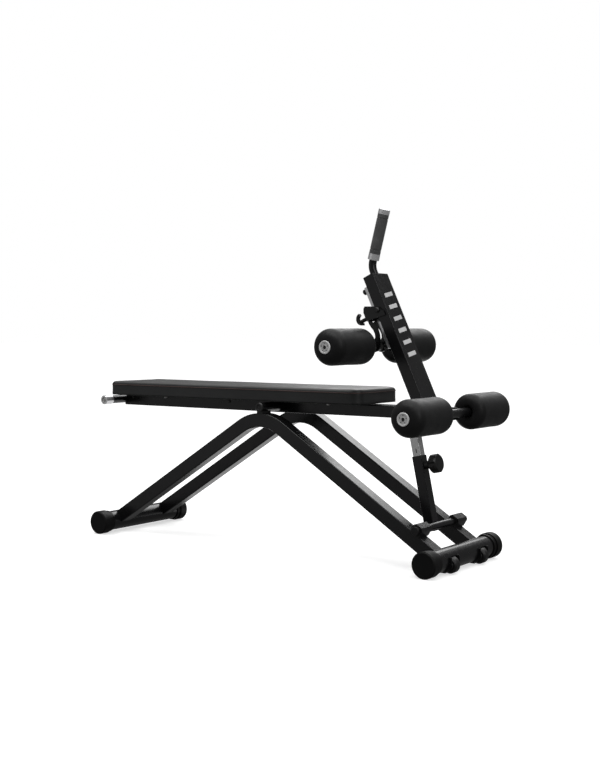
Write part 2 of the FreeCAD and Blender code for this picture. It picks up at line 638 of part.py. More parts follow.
def make_pad():
    """Make the plates on the rail, the board, the cushion over it and the bolts between."""
    middle = "pad_rear_x + pad_length / 2"
    rail_top = "rail_z + rail_height / 2"
    places = (("front", "pad_plate_front_x"), ("rear", "pad_plate_rear_x"))
    plates = []
    for label, x in places:
        strap = new_body(f"pad_plate_{label}")
        sketch = new_sketch(strap, "XY_Plane")
        draw_rounded_box(sketch, "pad_plate_length", "pad_plate_width", "pad_plate_corner")
        pad(strap, sketch, f"pad_bottom_z - ({rail_top})", both_ways=False)
        cut_holes(strap, "XY_Plane", [("0", "pad_bolt_y"), ("0", "-pad_bolt_y")], "pad_bolt_radius")
        plates.append(place(strap, x=x, z=rail_top))
    group("pad_mount_plates", plates)
    board = new_body("pad_board")
    sketch = new_sketch(board, "XY_Plane")
    pad_outline(sketch, "pad_inset")
    pad(board, sketch, "pad_board_thick", both_ways=False)
    holes = [(f"{x} - ({middle})", f"{sign}pad_bolt_y") for _, x in places for sign in ("", "-")]
    cut_holes(board, "XY_Plane", holes, "pad_bolt_radius")
    keep("pad_board", place(board, x=middle, z="pad_bottom_z"))
    make_cushion(middle)
    make_pad_bolts(places, rail_top)


def make_cushion(middle):
    """Make the cushion, rounded round its top edge and hollow over the board."""
    cushion = new_body("pad_cushion")
    sketch = new_sketch(cushion, "XY_Plane")
    pad_outline(sketch)
    pad(cushion, sketch, "pad_thick", both_ways=False)
    top = value("pad_thick")
    soften(cushion, lambda edge: min(vertex.Z for vertex in edge.Vertexes) > top - 0.1, "pad_edge")
    sketch = new_sketch(cushion, "XY_Plane")
    pad_outline(sketch, "pad_inset")
    pocket(cushion, sketch, "2 * pad_board_thick")
    keep("pad_cushion", place(cushion, x=middle, z="pad_bottom_z"))


def make_pad_bolts(places, rail_top):
    """Make the four bolts that hold the board to its plates."""
    head = "pad_bolt_radius + 2.5"
    tip = "pad_board_thick + 3"
    bolts = []
    for label, x in places:
        for side in ("", "-"):
            bolt = turned(f"pad_bolt_{label}_{'left' if side else 'right'}", "Z", [
                ("-5", "0"), ("-5", head), ("0", head), ("0", "pad_bolt_radius"),
                (tip, "pad_bolt_radius"), (tip, "0")])
            bolts.append(place(bolt, x=x, y=f"{side}pad_bolt_y", z=rail_top))
    group("pad_bolts", bolts)


# ---- post and handle ------------------------------------------------------------------------

def make_post():
    """Make the flat post, cut level where it stands on the rail, and its top cap."""
    body = new_body("post")
    section = new_sketch(body, "XY_Plane")
    draw_rounded_box(section, "post_depth", "post_width", "post_corner", x="post_depth / 2")
    draw_rounded_box(section, "post_depth - 2 * post_wall", "post_width - 2 * post_wall",
                     "post_corner - post_wall + 0.5", x="post_depth / 2")
    pad_between(body, section, "-post_tail", "post_top")
    drop = "(post_z - rail_z - rail_height / 2) / cos(post_lean)"
    slope = "tan(post_lean)"
    cut_plate(body, "XZ_Plane", [
        ("-20", f"-({drop}) + 20 * {slope}"), ("80", f"-({drop}) - 80 * {slope}"),
        ("80", "-post_tail - 80"), ("-20", "-post_tail - 80")])
    keep("post", on_post(body))
    cap = new_body("post_top_cap")
    sketch = new_sketch(cap, "XY_Plane")
    draw_rounded_box(sketch, "post_depth", "post_width", "post_corner", x="post_depth / 2")
    pad_between(cap, sketch, "post_top", "post_top + post_cap_thick")
    cut_holes(cap, "XY_Plane", [("handle_offset", "0")], "handle_radius")
    keep("post_top_cap", on_post(cap))


def handle_length():
    """Length of the handle's upper, straight part, as a formula."""
    return "(handle_below_grip + collar_length + grip_length + top_collar_length - 3)"


def handle_frame(item):
    """Place an object drawn along the handle's upper, straight part."""
    turn = "handle_bend - post_lean"
    rise = "(post_top + handle_rise + handle_bend_radius * sin(handle_bend))"
    across = "(handle_offset + handle_bend_radius * (1 - cos(handle_bend)))"
    x = f"post_x + {across} * cos(post_lean) - {rise} * sin(post_lean)"
    z = f"post_z + {across} * sin(post_lean) + {rise} * cos(post_lean)"
    return place(item, x=x, z=z, turn=turn)


def handle_path(path):
    """Draw the handle's centre line: up out of the post, one bend, then straight."""
    low = value("post_top - handle_root")
    high = value("post_top + handle_rise")
    offset = value("handle_offset")
    bend = value("handle_bend")
    radius = value("handle_bend_radius")
    first = path.addGeometry(Part.LineSegment(Vector(offset, low, 0), Vector(offset, high, 0)), False)
    circle = Part.Circle(Vector(offset + radius, high, 0), Vector(0, 0, 1), radius)
    turn = Part.ArcOfCircle(circle, math.pi - math.radians(bend), math.pi)
    arc = path.addGeometry(turn, False)
    start = path.getPoint(arc, 1)
    heading = Rotation(Vector(0, 0, 1), -bend).multVec(Vector(0, value(handle_length()), 0))
    last = path.addGeometry(Part.LineSegment(start, start + heading), False)
    pin_point(path, first, 1, "handle_offset", "post_top - handle_root")
    pin_point(path, first, 2, "handle_offset", "post_top + handle_rise")
    path.addConstraint(Sketcher.Constraint("Tangent", first, 2, arc, 2))
    path.addConstraint(Sketcher.Constraint("Tangent", arc, 1, last, 1))
    for kind, edge, text in (("Radius", arc, "handle_bend_radius"), ("Distance", last, handle_length())):
        index = path.addConstraint(Sketcher.Constraint(kind, edge, value(text)))
        path.setExpression(f"Constraints[{index}]", formula(text))
    index = path.addConstraint(Sketcher.Constraint("Angle", last, math.radians(90 - bend)))
    path.setExpression(f"Constraints[{index}]", formula("(90 - handle_bend) * 1 deg"))


def make_handle():
    """Make the bent handle tube with its grip between two bright collars."""
    body = new_body("handle_tube")
    path = new_sketch(body, "XZ_Plane")
    handle_path(path)
    section = new_sketch(body, "XY_Plane")
    draw_circle(section, "handle_offset", "0", "handle_radius")
    draw_circle(section, "handle_offset", "0", "handle_radius - handle_wall")
    section.AttachmentOffset = Placement(Vector(0, 0, value("post_top - handle_root")), Rotation())
    section.setExpression("AttachmentOffset.Base.z", formula("post_top - handle_root"))
    sweep = body.newObject("PartDesign::AdditivePipe", "handle_sweep")
    sweep.Profile = section
    sweep.Spine = (path, ["Edge1", "Edge2", "Edge3"])
    body.Tip = sweep
    keep("handle_tube", on_post(body))
    make_grip()


def make_grip():
    """Make the grip with a fine groove near each end, and the bright collars beside it."""
    collar_low = "handle_below_grip"
    grip_low = f"{collar_low} + collar_length"
    grip_high = f"{grip_low} + grip_length"
    grip = [(grip_low, "handle_radius"), (grip_high, "handle_radius"), (grip_high, "grip_radius")]
    for centre in (f"{grip_high} - 12", f"{grip_low} + 12"):
        grip += [(f"{centre} + 1.5", "grip_radius"), (f"{centre} + 0.7", "grip_radius - 0.9"),
                 (f"{centre} - 0.7", "grip_radius - 0.9"), (f"{centre} - 1.5", "grip_radius")]
    grip.append((grip_low, "grip_radius"))
    keep("handle_grip", handle_frame(turned("handle_grip", "Z", grip)))
    lower = turned("lower_collar", "Z", [
        (collar_low, "handle_radius"), (grip_low, "handle_radius"), (grip_low, "collar_radius"),
        (f"{collar_low} + 1", "collar_radius"), (collar_low, "collar_radius - 1")])
    top = f"{grip_high} + top_collar_length"
    upper = turned("upper_collar", "Z", [
        (grip_high, "handle_radius"), (handle_length(), "handle_radius"), (handle_length(), "0"),
        (top, "0"), (top, "collar_radius - 2"), (f"{top} - 2", "collar_radius"),
        (grip_high, "collar_radius")])
    group("handle_collars", [handle_frame(lower), handle_frame(upper)])


# ---- guide bar and carriage -------------------------------------------------------------------

def guide_centre():
    """Distance of the guide bar's centre line from the post's back face, as a formula."""
    return "-(guide_gap + guide_side / 2)"


def make_guide():
    """Make the bright guide bar behind the post, its spacers and its two bolts."""
    body = new_body("guide_bar")
    section = new_sketch(body, "XY_Plane")
    inside = "guide_side - 2 * guide_wall"
    draw_rounded_box(section, "guide_side", "guide_side", "guide_corner", x=guide_centre())
    draw_rounded_box(section, inside, inside, "0.5", x=guide_centre())
    pad_between(body, section, "guide_bottom", "guide_top")
    heights = (("top", "guide_bolt_top"), ("bottom", "guide_bolt_bottom"))
    cut_holes(body, "YZ_Plane", [("0", height) for _, height in heights], "guide_bolt_radius")
    keep("guide_bar", on_post(body))
    back = "-(guide_gap + guide_side)"
    end = f"{back} - bolt_head_height"
    spacers, bolts = [], []
    for label, height in heights:
        spacer = turned(f"guide_spacer_{label}", "X", [
            ("-guide_gap", "guide_bolt_radius"), ("0", "guide_bolt_radius"), ("0", "guide_side / 2"),
            ("-guide_gap", "guide_side / 2")])
        bolt = turned(f"guide_bolt_{label}", "X", [
            (end, "0"), ("0", "0"), ("0", "guide_bolt_radius"), (back, "guide_bolt_radius"),
            (back, "bolt_head_radius"), (f"{end} + 2.5", "bolt_head_radius"),
            (end, "bolt_head_radius - 2.5")])
        for item in (spacer, bolt):
            across = f"post_x - ({height}) * sin(post_lean)"
            place(item, x=across, z=f"post_z + ({height}) * cos(post_lean)", turn=SLOPES["post"])
        spacers.append(spacer)
        bolts.append(bolt)
    group("guide_spacers", spacers)
    group("guide_bolts", bolts)


def make_carriage():
    """Make the bracket that clasps the post: two shaped cheeks joined by a web at the back."""
    side = "post_width / 2 + side_gap"
    back, front, low, high = "-carriage_back", "carriage_front", "carriage_low", "carriage_high"
    bracket = new_body("carriage_bracket")
    sketch = new_sketch(bracket, "XY_Plane")
    draw_polygon(sketch, [
        (back, f"-({side} + plate_thick)"), (front, f"-({side} + plate_thick)"),
        (front, f"-({side})"), (f"{back} + plate_thick", f"-({side})"),
        (f"{back} + plate_thick", side), (front, side), (front, f"{side} + plate_thick"),
        (back, f"{side} + plate_thick")])
    pad_between(bracket, sketch, low, high)
    cut_plate(bracket, "XZ_Plane", [
        (f"{back} - 1", f"{high} - 17"), (f"{back} + 5", f"{high} - 4"), (f"{back} + 11", high),
        ("0", f"{high} - 12"), (f"{front} - 10", f"{high} - 20"), (f"{front} - 6", f"{high} - 29"),
        (f"{front} + 1", f"{high} - 38"), (f"{front} + 1", f"{high} + 1"),
        (f"{back} - 1", f"{high} + 1")])
    cut_plate(bracket, "XZ_Plane", [
        (f"{back} - 1", f"{low} + 9"), (f"{back} + 5", f"{low} + 9"), (f"{front} - 17", f"{low} + 3"),
        (f"{front} + 1", f"{low}"), (f"{front} + 1", f"{low} - 1"), (f"{back} - 1", f"{low} - 1")])
    cut_holes(bracket, "YZ_Plane", [("0", "plunger_u")], "plunger_radius")
    keep("carriage_bracket", on_post(bracket))
    make_carriage_sleeve()
    make_carriage_bolts()


def make_carriage_sleeve():
    """Make the square sleeve that slides on the guide bar, with its block to the web."""
    sleeve = new_body("carriage_sleeve")
    sketch = new_sketch(sleeve, "XY_Plane")
    inside = "guide_side + 2 * sleeve_gap"
    outside = f"{inside} + 2 * sleeve_wall"
    draw_rounded_box(sketch, outside, outside, "2.5", x=guide_centre())
    draw_rounded_box(sketch, inside, inside, "1", x=guide_centre())
    pad_between(sleeve, sketch, "slide_low", "slide_high")
    sketch = new_sketch(sleeve, "YZ_Plane")
    draw_circle(sketch, "0", "plunger_u", "pin_radius + 0.5")
    hole = pocket(sleeve, sketch, "60")
    hole.SideType = "One side"
    block = new_sketch(sleeve, "XZ_Plane")
    draw_polygon(block, box_points("-carriage_back + plate_thick", "-(guide_gap + guide_side + 1)",
                                   "slide_low", "plunger_u - plunger_radius - 1"))
    pad(sleeve, block, "guide_side")
    keep("carriage_sleeve", on_post(sleeve))


def make_carriage_bolts():
    """Make the round-headed bolts that carry a slide pad inside each cheek."""
    side = "post_width / 2 + side_gap + plate_thick"
    head = "carriage_bolt_height"
    bolt = turned("carriage_bolt", "Y", [
        ("0", "0"), ("0", "carriage_bolt_radius"), (f"-{head} + 2", "carriage_bolt_radius"),
        (f"-{head}", "carriage_bolt_radius - 2"), (f"-{head}", "0")])
    x = "post_x + carriage_bolt_n * cos(post_lean) - carriage_bolt_u * sin(post_lean)"
    z = "post_z + carriage_bolt_n * sin(post_lean) + carriage_bolt_u * cos(post_lean)"
    pair("carriage_bolts", place(bolt, x=x, y=f"-({side})", z=z))


def make_carriage_arm():
    """Make the arm plates that hang the upper axle below the carriage."""
    web, back, waist, front = "-carriage_back", "-arm_back", "-arm_waist", "-arm_front"
    root = "carriage_low + 5"
    eye = arc_points(("axle_n", "axle_u"), "arm_eye_radius", "70", "340", 9)
    arm = plate("carriage_arm", "XZ_Plane", [
        (web, root), (web, "carriage_high - 11"), (f"{back} + 3", "carriage_high - 13"),
        (back, "carriage_high - 25"), (back, f"{root} + 1"), (f"{back} + 2.5", f"{root} - 11"),
        (f"{waist} - 0.5", f"{root} - 20"), (waist, f"{root} - 32"), (f"{waist} - 3", f"{root} - 41"),
        *eye, ("-33", "axle_u + 9"), ("-28", "axle_u + 24"), (front, "axle_u + 39"), (front, root)],
        "arm_thick")
    cut_holes(arm, "XZ_Plane", [("axle_n", "axle_u")], "axle_radius")
    place(arm, x="post_x", y="-arm_y", z="post_z", turn=SLOPES["post"])
    pair("carriage_arms", arm)


def axle_place(item):
    """Place an object on the upper roller axle."""
    return place(item, x="post_x + axle_n * cos(post_lean) - axle_u * sin(post_lean)",
                 z="post_z + axle_n * sin(post_lean) + axle_u * cos(post_lean)")


def lower_place(item):
    """Place an object on the lower roller axle."""
    return place(item, x="lower_axle_x", z="lower_axle_z")


def make_rollers():
    """Make both roller axles, the four foam rollers and the hub caps that hold them on."""
    end = "roller_outer_y"
    inner = "roller_outer_y - roller_length"
    bore = "axle_radius + roller_gap"
    for level, put in (("upper", axle_place), ("lower", lower_place)):
        axle = round_tube(f"{level}_axle", "Y", f"-({end})", end, "axle_radius", "axle_wall")
        keep(f"{level}_axle", put(axle))
        foam = turned(f"{level}_roller", "Y", [
            (f"-({end})", bore), (f"-({inner})", bore), (f"-({inner})", "roller_radius"),
            (f"-({end})", "roller_radius")])
        outer_radius = value("roller_radius")
        soften(foam, lambda edge: abs(getattr(edge.Curve, "Radius", 0) - outer_radius) < 0.1
               and len(edge.Vertexes) == 1, "roller_shoulder")
        keep(f"{level}_right_roller", put(foam))
        keep(f"{level}_left_roller", mirrored(f"{level}_left_roller", foam))
        face = f"{end} + hub_clearance"
        hub = turned(f"{level}_hub_cap", "Y", [
            (f"-({face} + hub_thick)", "4"), (f"-({face} + hub_thick)", "hub_radius - 1.5"),
            (f"-({face} + hub_thick - 1)", "hub_radius"), (f"-({face})", "hub_radius"),
            (f"-({face})", "axle_radius"), (f"-({end})", "axle_radius"),
            (f"-({end})", "axle_radius - axle_wall"),
            (f"-({end} - hub_plug)", "axle_radius - axle_wall"),
            (f"-({end} - hub_plug)", "axle_radius - axle_wall - 2"),
            (f"-({face})", "axle_radius - axle_wall - 2"), (f"-({face})", "4")])
        pair(f"{level}_hub_caps", put(hub))


def make_carriage_pin():
    """Make the pull pin: a fixed housing, the pin, its bow grip and the spring inside."""
    back = "-carriage_back"
    seat = "-(guide_gap + guide_side + sleeve_gap + sleeve_wall)"
    tail = "(-carriage_back - plunger_length)"
    lip = f"{tail} + 3"
    housing = turned("plunger_housing", "X", [
        (seat, "pin_radius + 0.5"), (seat, "plunger_radius"), (tail, "plunger_radius"),
        (tail, "pin_radius + fit_gap"), (lip, "pin_radius + fit_gap"), (lip, "spring_radius"),
        (f"{back} + 2", "spring_radius"), (f"{back} + 2", "pin_radius + 0.5")])
    nose = "-(guide_gap + guide_side + nose_gap)"
    knob_face = f"({tail} - 0.5)"
    pin_end = f"{knob_face} - pin_length"
    pin = turned("carriage_pin", "X", [
        (nose, "0"), (nose, "pin_radius - 1"), (f"{nose} - 1", "pin_radius"),
        (f"{back} + 1.5", "pin_radius"), (f"{back} + 1.5", "pin_radius + 2"), (back, "pin_radius + 2"),
        (back, "pin_radius"), (pin_end, "pin_radius"), (pin_end, "0")])
    spring = turned("carriage_pin_spring", "X", [
        (lip, "pin_radius + spring_gap"), (lip, "spring_radius - spring_gap"),
        (f"{back} - 0.2", "spring_radius - spring_gap"), (f"{back} - 0.2", "pin_radius + spring_gap")])
    knob = make_bow_grip(knob_face, pin_end)
    for name, item in (("plunger_housing", housing), ("carriage_pin", pin), ("carriage_knob", knob),
                       ("carriage_pin_spring", spring)):
        place(item, x="post_x - plunger_u * sin(post_lean)", z="post_z + plunger_u * cos(post_lean)",
              turn=SLOPES["post"])
        keep(name, item)


def make_bow_grip(face, pin_end):
    """Make the curved finger grip and the round neck that holds it on the pin."""
    centre = ("-bow_centre", "bow_rise")
    start, end = "180 - bow_sweep", "180 + bow_sweep"
    outer = arc_points(centre, "bow_radius", start, end, 10)
    inner = arc_points(centre, "bow_radius - bow_thick", start, end, 10)
    grip = plate("carriage_knob", "XZ_Plane", outer + inner[::-1], "bow_width")
    neck_end = f"{face} - neck_length"
    neck = new_sketch(grip, "XZ_Plane")
    draw_polygon(neck, [(face, "pin_radius"), (face, "neck_radius"), (neck_end, "neck_radius"),
                        (neck_end, "0"), (pin_end, "0"), (pin_end, "pin_radius")])
    revolve(grip, neck, "H_Axis")
    return grip


# ---- strut ------------------------------------------------------------------------------------

def make_crossbar():
    """Make the crossbar that the strut swings on and the caps on its ends."""
    half = "crossbar_length / 2"
    bar = solid_rod("strut_crossbar", "Y", f"-{half}", half, "crossbar_radius")
    keep("strut_crossbar", place(bar, x=crossbar_x(), z=crossbar_z()))
    face = f"-({half} + crossbar_cap_face)"
    mouth = f"-({half} - crossbar_cap_depth)"
    cap = turned("crossbar_cap", "Y", [
        (f"-{half}", "0"), (f"-{half}", "crossbar_radius"), (mouth, "crossbar_radius"),
        (mouth, "crossbar_cap_radius"), (f"{face} + 1.5", "crossbar_cap_radius"),
        (face, "crossbar_cap_radius - 1.5"), (face, "0")])
    pair("crossbar_caps", place(cap, x=crossbar_x(), z=crossbar_z()))


def make_strut_sleeve():
    """Make the outer sleeve behind the crossbar and the threaded boss on its front face."""
    body = new_body("strut_sleeve")
    section = new_sketch(body, "XY_Plane")
    draw_rounded_box(section, "sleeve_side", "sleeve_side", "strut_corner", x="-strut_offset")
    inside = "strut_side + 2 * sleeve_gap"
    draw_rounded_box(section, inside, inside, "1.2", x="-strut_offset")
    pad_between(body, section, "sleeve_bottom", "sleeve_top")
    sketch = new_sketch(body, "YZ_Plane")
    draw_circle(sketch, "0", "knob_height", "pin_radius + 0.5")
    hole = pocket(body, sketch, "strut_offset")
    hole.SideType = "One side"
    keep("strut_sleeve", on_strut(body))
    face = "-strut_offset + sleeve_side / 2"
    end = f"{face} + boss_length"
    boss = turned("strut_pin_boss", "X", [
        (face, "pin_radius + 0.5"), (f"{face} + 2", "pin_radius + 0.5"),
        (f"{face} + 2", "spring_radius"), (f"{end} - 2", "spring_radius"), (f"{end} - 2", "pin_radius + fit_gap"),
        (end, "pin_radius + fit_gap"), (end, "boss_radius - 1.5"), (f"{end} - 1.5", "boss_radius"),
        (face, "boss_radius")])
    keep("strut_pin_boss", knob_place(boss))


def knob_place(item):
    """Place an object drawn along the strut pin's axis."""
    return place(item, x=f"{crossbar_x()} - knob_height * sin(strut_tilt)",
                 z=f"{crossbar_z()} + knob_height * cos(strut_tilt)", turn=SLOPES["strut"])


def make_strut_inner():
    """Make the bright inner tube with its row of pin holes and the eye at its top."""
    body = new_body("strut_inner_tube")
    section = new_sketch(body, "XY_Plane")
    draw_rounded_box(section, "strut_side", "strut_side", "strut_corner", x="-strut_offset")
    inside = "strut_side - 2 * strut_wall"
    draw_rounded_box(section, inside, inside, "0.6", x="-strut_offset")
    pad_between(body, section, "strut_bottom", "strut_eye + strut_above_eye")
    sketch = new_sketch(body, "YZ_Plane")
    for step in range(STRUT_HOLES):
        draw_circle(sketch, "0", f"knob_height - {step} * hole_pitch", "hole_radius")
    holes = pocket(body, sketch, "strut_offset")
    holes.SideType = "One side"
    sketch = new_sketch(body, "XZ_Plane")
    draw_circle(sketch, "-strut_offset", "strut_eye", "strut_eye_radius")
    pocket(body, sketch, "60")
    keep("strut_inner_tube", on_strut(body))


def make_strut_pin():
    """Make the strut's pull pin, its lobed knob and the spring in the boss."""
    face = "-strut_offset + sleeve_side / 2"
    nose = "-strut_offset + strut_side / 2 + nose_gap"
    seat = f"{face} + boss_length"
    back = f"{seat} + 0.5"
    rim = f"{back} + knob_neck_length"
    collar = "spring_radius - spring_gap"
    pin = turned("strut_pin", "X", [
        (nose, "0"), (nose, "pin_radius - 1"), (f"{nose} + 1", "pin_radius"),
        (f"{face} + 2.5", "pin_radius"), (f"{face} + 2.5", collar), (f"{face} + 4", collar),
        (f"{face} + 4", "pin_radius"), (f"{rim} + 10", "pin_radius"), (f"{rim} + 10", "0")])
    keep("strut_pin", knob_place(pin))
    far = f"{rim} + knob_thick"
    knob = turned("strut_knob", "X", [
        (back, "pin_radius"), (back, "knob_neck"), (rim, "knob_neck"),
        (rim, "knob_radius - knob_edge"), (f"{rim} + knob_edge", "knob_radius"),
        (f"{far} - knob_edge", "knob_radius"), (far, "knob_radius - knob_edge"), (f"{far} + 1", "0"),
        (f"{rim} + 10", "0"), (f"{rim} + 10", "pin_radius")])
    sketch = new_sketch(knob, "YZ_Plane")
    draw_circle(sketch, "0", "knob_lobe_centre", "knob_lobe_radius")
    flute = pocket(knob, sketch, "200")
    flutes = knob.newObject("PartDesign::PolarPattern", "knob_flutes")
    flutes.Originals = [flute]
    axis = next(item for item in knob.Origin.OriginFeatures if item.Role == "X_Axis")
    flutes.Axis = (axis, [""])
    flutes.Angle = 360
    flutes.Occurrences = KNOB_LOBES
    knob.Tip = flutes
    keep("strut_knob", knob_place(knob))
    inner = "pin_radius + spring_gap"
    spring = turned("strut_pin_spring", "X", [
        (f"{face} + 4.2", inner), (f"{seat} - 2", inner), (f"{seat} - 2", collar),
        (f"{face} + 4.2", collar)])
    keep("strut_pin_spring", knob_place(spring))


def make_clevis():
    """Make the two lugs under the rail and the pin that the strut's eye hangs on."""
    eye_x = f"({crossbar_x()} - strut_offset * cos(strut_tilt) - strut_eye * sin(strut_tilt))"
    eye_z = f"({crossbar_z()} - strut_offset * sin(strut_tilt) + strut_eye * cos(strut_tilt))"
    top = f"rail_z - rail_height / 2 - {eye_z}"
    half = "clevis_length / 2"
    inner = "strut_side / 2 + clevis_gap"
    lug = plate("strut_lug", "XZ_Plane", [
        (f"-({half})", top), (half, top), (half, "0"), (f"{half} - 7", "-clevis_below"),
        (f"-({half}) + 7", "-clevis_below"), (f"-({half})", "0")], "plate_thick")
    cut_holes(lug, "XZ_Plane", [("0", "0")], "strut_pin_radius")
    pair("strut_lugs", place(lug, x=eye_x, y=f"-({inner} + plate_thick / 2)", z=eye_z))
    reach = f"{inner} + plate_thick"
    head = "strut_pin_radius + 2.5"
    pin = turned("strut_top_pin", "Y", [
        (f"-({reach} + 4)", "0"), (f"{reach} + 5", "0"), (f"{reach} + 5", head), (reach, head),
        (reach, "strut_pin_radius"), (f"-({reach})", "strut_pin_radius"), (f"-({reach})", head),
        (f"-({reach} + 4)", head)])
    keep("strut_top_pin", place(pin, x=eye_x, z=eye_z))


# ---- build and export ---------------------------------------------------------------------------

def check_document():
    """Stop if any object failed to recompute or any sub-part's shape is bad."""
    failed = [item.Name for item in document.Objects if {"Invalid", "Error"} & set(item.State)]
    if failed:
        raise RuntimeError(f"objects that failed: {failed}")
    for name, item in parts.items():
        if item.Shape.isNull() or not item.Shape.isValid() or not item.Shape.Solids:
            raise RuntimeError(f"bad shape: {name}")


def export_parts():
    """Write every sub-part to its own STEP file."""
    os.makedirs("parts", exist_ok=True)
    for name, item in parts.items():
        item.Shape.exportStep(f"parts/{name}.step")
        print(f"{name:24s} solids {len(item.Shape.Solids)} volume {item.Shape.Volume / 1000:9.2f} cm3")
    print(f"{len(parts)} nodes")


sizes = make_sheet()
make_foot_tubes()
make_foot_caps()
make_legs()
make_main_pivot()
make_wheel_brackets()
make_wheels()
make_saddles()
make_rail()
make_rear_handle()
make_rail_screws()
make_pad()
make_post()
make_handle()
make_guide()
make_carriage()
make_carriage_arm()
make_rollers()
make_carriage_pin()
make_crossbar()
make_strut_sleeve()
make_strut_inner()
make_strut_pin()
make_clevis()
document.recompute()
check_document()
export_parts()
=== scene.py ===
"""Looks of the adjustable abdominal bench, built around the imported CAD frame."""

import json
import math

import bmesh
import bpy
from mathutils import Matrix, Vector, noise
from mathutils.bvhtree import BVHTree


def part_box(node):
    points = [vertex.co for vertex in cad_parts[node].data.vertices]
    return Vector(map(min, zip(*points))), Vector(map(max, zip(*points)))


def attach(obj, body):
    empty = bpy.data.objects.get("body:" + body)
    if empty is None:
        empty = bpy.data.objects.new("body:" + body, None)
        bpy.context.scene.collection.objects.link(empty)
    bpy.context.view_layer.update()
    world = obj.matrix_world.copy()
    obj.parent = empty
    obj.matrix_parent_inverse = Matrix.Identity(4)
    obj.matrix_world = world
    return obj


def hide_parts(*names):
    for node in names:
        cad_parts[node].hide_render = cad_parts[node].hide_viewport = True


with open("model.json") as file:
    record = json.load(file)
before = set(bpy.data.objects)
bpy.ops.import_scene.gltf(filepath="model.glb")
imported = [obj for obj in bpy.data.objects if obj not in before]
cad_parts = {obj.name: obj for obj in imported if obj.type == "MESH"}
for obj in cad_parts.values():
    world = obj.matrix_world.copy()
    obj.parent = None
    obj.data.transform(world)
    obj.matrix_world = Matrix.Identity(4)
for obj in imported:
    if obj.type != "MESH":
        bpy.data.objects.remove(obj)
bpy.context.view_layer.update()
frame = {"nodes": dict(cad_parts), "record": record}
MM = 0.001


# ---- node trees ---------------------------------------------------------------------------

class Surface:
    """A Principled material whose variation comes from textures in object space."""

    def __init__(self, name, **sockets):
        self.material = bpy.data.materials.new(name)
        self.material.use_nodes = True
        self.tree = self.material.node_tree
        self.shader = self.tree.nodes["Principled BSDF"]
        for label, amount in sockets.items():
            self.shader.inputs[label.replace("_", " ")].default_value = amount
        self.place = self.node("ShaderNodeTexCoord").outputs["Object"]
        self.normal = None

    def node(self, kind, **settings):
        made = self.tree.nodes.new(kind)
        for label, amount in settings.items():
            if hasattr(made, label):
                setattr(made, label, amount)
            else:
                made.inputs[label.replace("_", " ")].default_value = amount
        return made

    def link(self, source, target):
        self.tree.links.new(source, target)

    def stretched(self, x, y, z):
        """Object coordinates scaled along each axis."""
        mapping = self.node("ShaderNodeMapping")
        mapping.inputs["Scale"].default_value = (x, y, z)
        self.link(self.place, mapping.inputs["Vector"])
        return mapping.outputs["Vector"]

    def noise(self, scale, detail=3.0, roughness=0.5, vector=None):
        made = self.node("ShaderNodeTexNoise", Scale=scale, Detail=detail, Roughness=roughness)
        self.link(vector or self.place, made.inputs["Vector"])
        return made.outputs["Fac"]

    def cells(self, scale, feature="F1", vector=None):
        made = self.node("ShaderNodeTexVoronoi", feature=feature, Scale=scale)
        self.link(vector or self.place, made.inputs["Vector"])
        return made.outputs["Distance"]

    def ramp(self, factor, low, high, start=0.3, end=0.7):
        made = self.node("ShaderNodeValToRGB")
        made.color_ramp.elements[0].position = start
        made.color_ramp.elements[0].color = (*low, 1) if isinstance(low, tuple) else (low, low, low, 1)
        made.color_ramp.elements[1].position = end
        made.color_ramp.elements[1].color = (*high, 1) if isinstance(high, tuple) else (high, high, high, 1)
        self.link(factor, made.inputs["Fac"])
        return made.outputs["Color"]

    def colour(self, factor, low, high, start=0.3, end=0.7):
        self.link(self.ramp(factor, low, high, start, end), self.shader.inputs["Base Color"])

    def rough(self, factor, low, high, start=0.3, end=0.7):
        self.link(self.ramp(factor, low, high, start, end), self.shader.inputs["Roughness"])

    def bump(self, height, strength, distance):
        made = self.node("ShaderNodeBump", Strength=strength, Distance=distance)
        self.link(height, made.inputs["Height"])
        if self.normal:
            self.link(self.normal, made.inputs["Normal"])
        self.normal = made.outputs["Normal"]
        self.link(self.normal, self.shader.inputs["Normal"])


def powder_coat():
    """Satin black powder coat with a fine orange-peel skin."""
    made = Surface("powder_coat", Specular_IOR_Level=0.45)
    made.colour(made.noise(9, 4), (0.0050, 0.0050, 0.0054), (0.0085, 0.0085, 0.0090))
    made.rough(made.noise(60, 3), 0.20, 0.28)
    made.bump(made.noise(1500, 2), 0.12, 0.0002)
    made.bump(made.noise(350, 2), 0.06, 0.0004)
    return made.material


def moulded_rubber():
    """Matt black rubber of the foot caps."""
    made = Surface("moulded_rubber", Specular_IOR_Level=0.18)
    made.colour(made.noise(14, 4), (0.0040, 0.0040, 0.0040), (0.0070, 0.0070, 0.0070))
    made.rough(made.noise(80, 3), 0.42, 0.56)
    made.bump(made.noise(1100, 3), 0.15, 0.0002)
    return made.material


def moulded_plastic():
    """Black moulded plastic with a fine spark texture."""
    made = Surface("moulded_plastic", Specular_IOR_Level=0.45)
    made.colour(made.noise(20, 3), (0.0050, 0.0050, 0.0050), (0.0085, 0.0085, 0.0085))
    made.rough(made.noise(120, 3), 0.34, 0.46)
    made.bump(made.cells(1400), 0.12, 0.0002)
    return made.material


def artificial_leather(name, low, high, gloss):
    """Black vinyl with a pebble grain, a soft sheen and faint handling marks."""
    made = Surface(name, Specular_IOR_Level=0.45, Sheen_Weight=0.12, Sheen_Roughness=0.5)
    made.colour(made.noise(7, 5), low, high)
    made.rough(made.noise(24, 4), gloss, gloss + 0.14)
    made.bump(made.cells(520, "SMOOTH_F1"), 0.35, 0.0004)
    made.bump(made.noise(240, 4), 0.18, 0.0004)
    made.bump(made.noise(16, 3), 0.05, 0.003)
    return made.material


